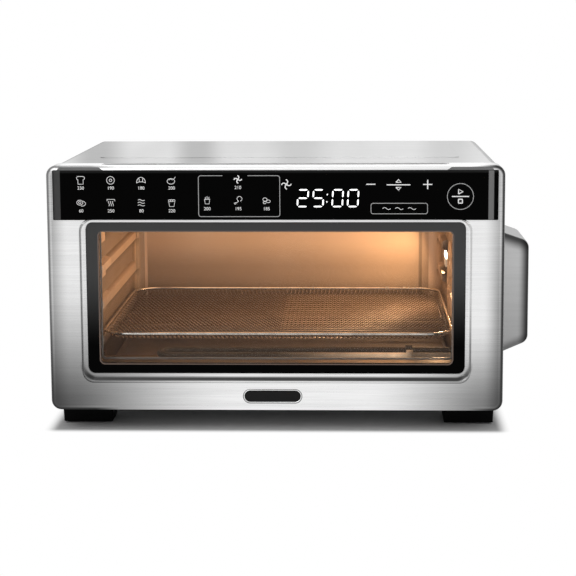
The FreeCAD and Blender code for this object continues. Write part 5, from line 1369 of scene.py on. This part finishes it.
# The node's own screws, with a cross driven into each head.
def crossScrews(name, way, finishes):
    way = Vector(way)
    axis = max(range(3), key=lambda number: abs(way[number]))
    screws = bpy.data.objects.new(name + "_crossed", nodes[name].data.copy())
    scene.collection.objects.link(screws)
    takeUp(screws)
    setMode("EDIT")
    bpy.ops.mesh.select_all(action="SELECT")
    bpy.ops.mesh.remove_doubles(threshold=1e-6)
    bpy.ops.mesh.separate(type="LOOSE")
    setMode("OBJECT")
    parts = list(bpy.context.selected_objects)
    for part in parts:
        places = list(zip(*(vertex.co for vertex in part.data.vertices)))
        low, high = Vector(map(min, places)), Vector(map(max, places))
        top = middleOf((low, high))
        top[axis] = high[axis] if way[axis] > 0 else low[axis]
        for cutter in makeCross((high - low)[(axis + 1) % 3] / 2):
            cutter.rotation_euler = way.to_track_quat("Z", "Y").to_euler()
            cutter.location = top
            applyAll(cutter)
            takeUp(part)
            cut = part.modifiers.new("cross", "BOOLEAN")
            cut.operation = "DIFFERENCE"
            cut.object = cutter
            bpy.ops.object.modifier_apply(modifier=cut.name)
            bpy.data.objects.remove(cutter)
    whole = joinAll(parts, name + "_crossed")
    bpy.ops.object.shade_smooth_by_angle(angle=math.radians(crossLook["smooth"]))
    body = "door" if name.startswith("inner") else "oven_body"
    finishPiece(whole, body, slotOf[name], finishes[slotOf[name]], name)


inkLook = {     # material, dark, light and glow
    "print": ("panelInk", 0.55, 0.75, 0.25),
    "frame": ("frameInk", 0.26, 0.36, 0.1),
    "lit": ("litBars", 0.9, 1.0, 0.9),
}


def plainInk(name, dark, light, glow):
    mat, shader, spot = newFinish(name, Roughness=0.5)
    tone = toneBetween(useGroup("stipple", spot.place, Scale=1400.0)[0], dark, light)
    setShader(shader, Base_Color=tone, Emission_Color=tone, Emission_Strength=glow)
    return mat


# Everything in turn

addCamera()
print("camera set")
for makeGroup in (brushedGroup, cloudGroup, stippleGroup, spangleGroup):
    makeGroup()
finishes = makeFinishes()
dressNodes(finishes)
print("finishes on", len(nodes), "solids")
setWorld()
addFloor()
makeBasketWeave(finishes)
print("basket woven")
inks = {key: plainInk(*look) for key, look in inkLook.items()}
makePanelPrint(inks)
makeDisplay(inks)
print("panel printed")
makeBadgePlate(finishes)
for name, way in crossedScrews.items():
    crossScrews(name, way, finishes)
print("plate and screws made")
for name in ("key", "fill", "back"):
    addLamp(name + "Light", **studio[name])
lensMiddle = middleOf(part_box("lamp_lens"))
addLamp("ovenLamp", lensMiddle + Vector(ovenLight["lampStart"]),
        lensMiddle + Vector(ovenLight["lampAim"]), **ovenLight["lamp"])
cavityLow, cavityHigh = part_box("cavity_shell")
cavityMiddle = middleOf((cavityLow, cavityHigh))
glowHeight = cavityHigh.z - ovenLight["glowDrop"]
addLamp("ovenGlow", (cavityMiddle.x, cavityMiddle.y, glowHeight), cavityMiddle,
        **ovenLight["glow"])
print("lamps set")
scene.view_settings.view_transform = "Standard"
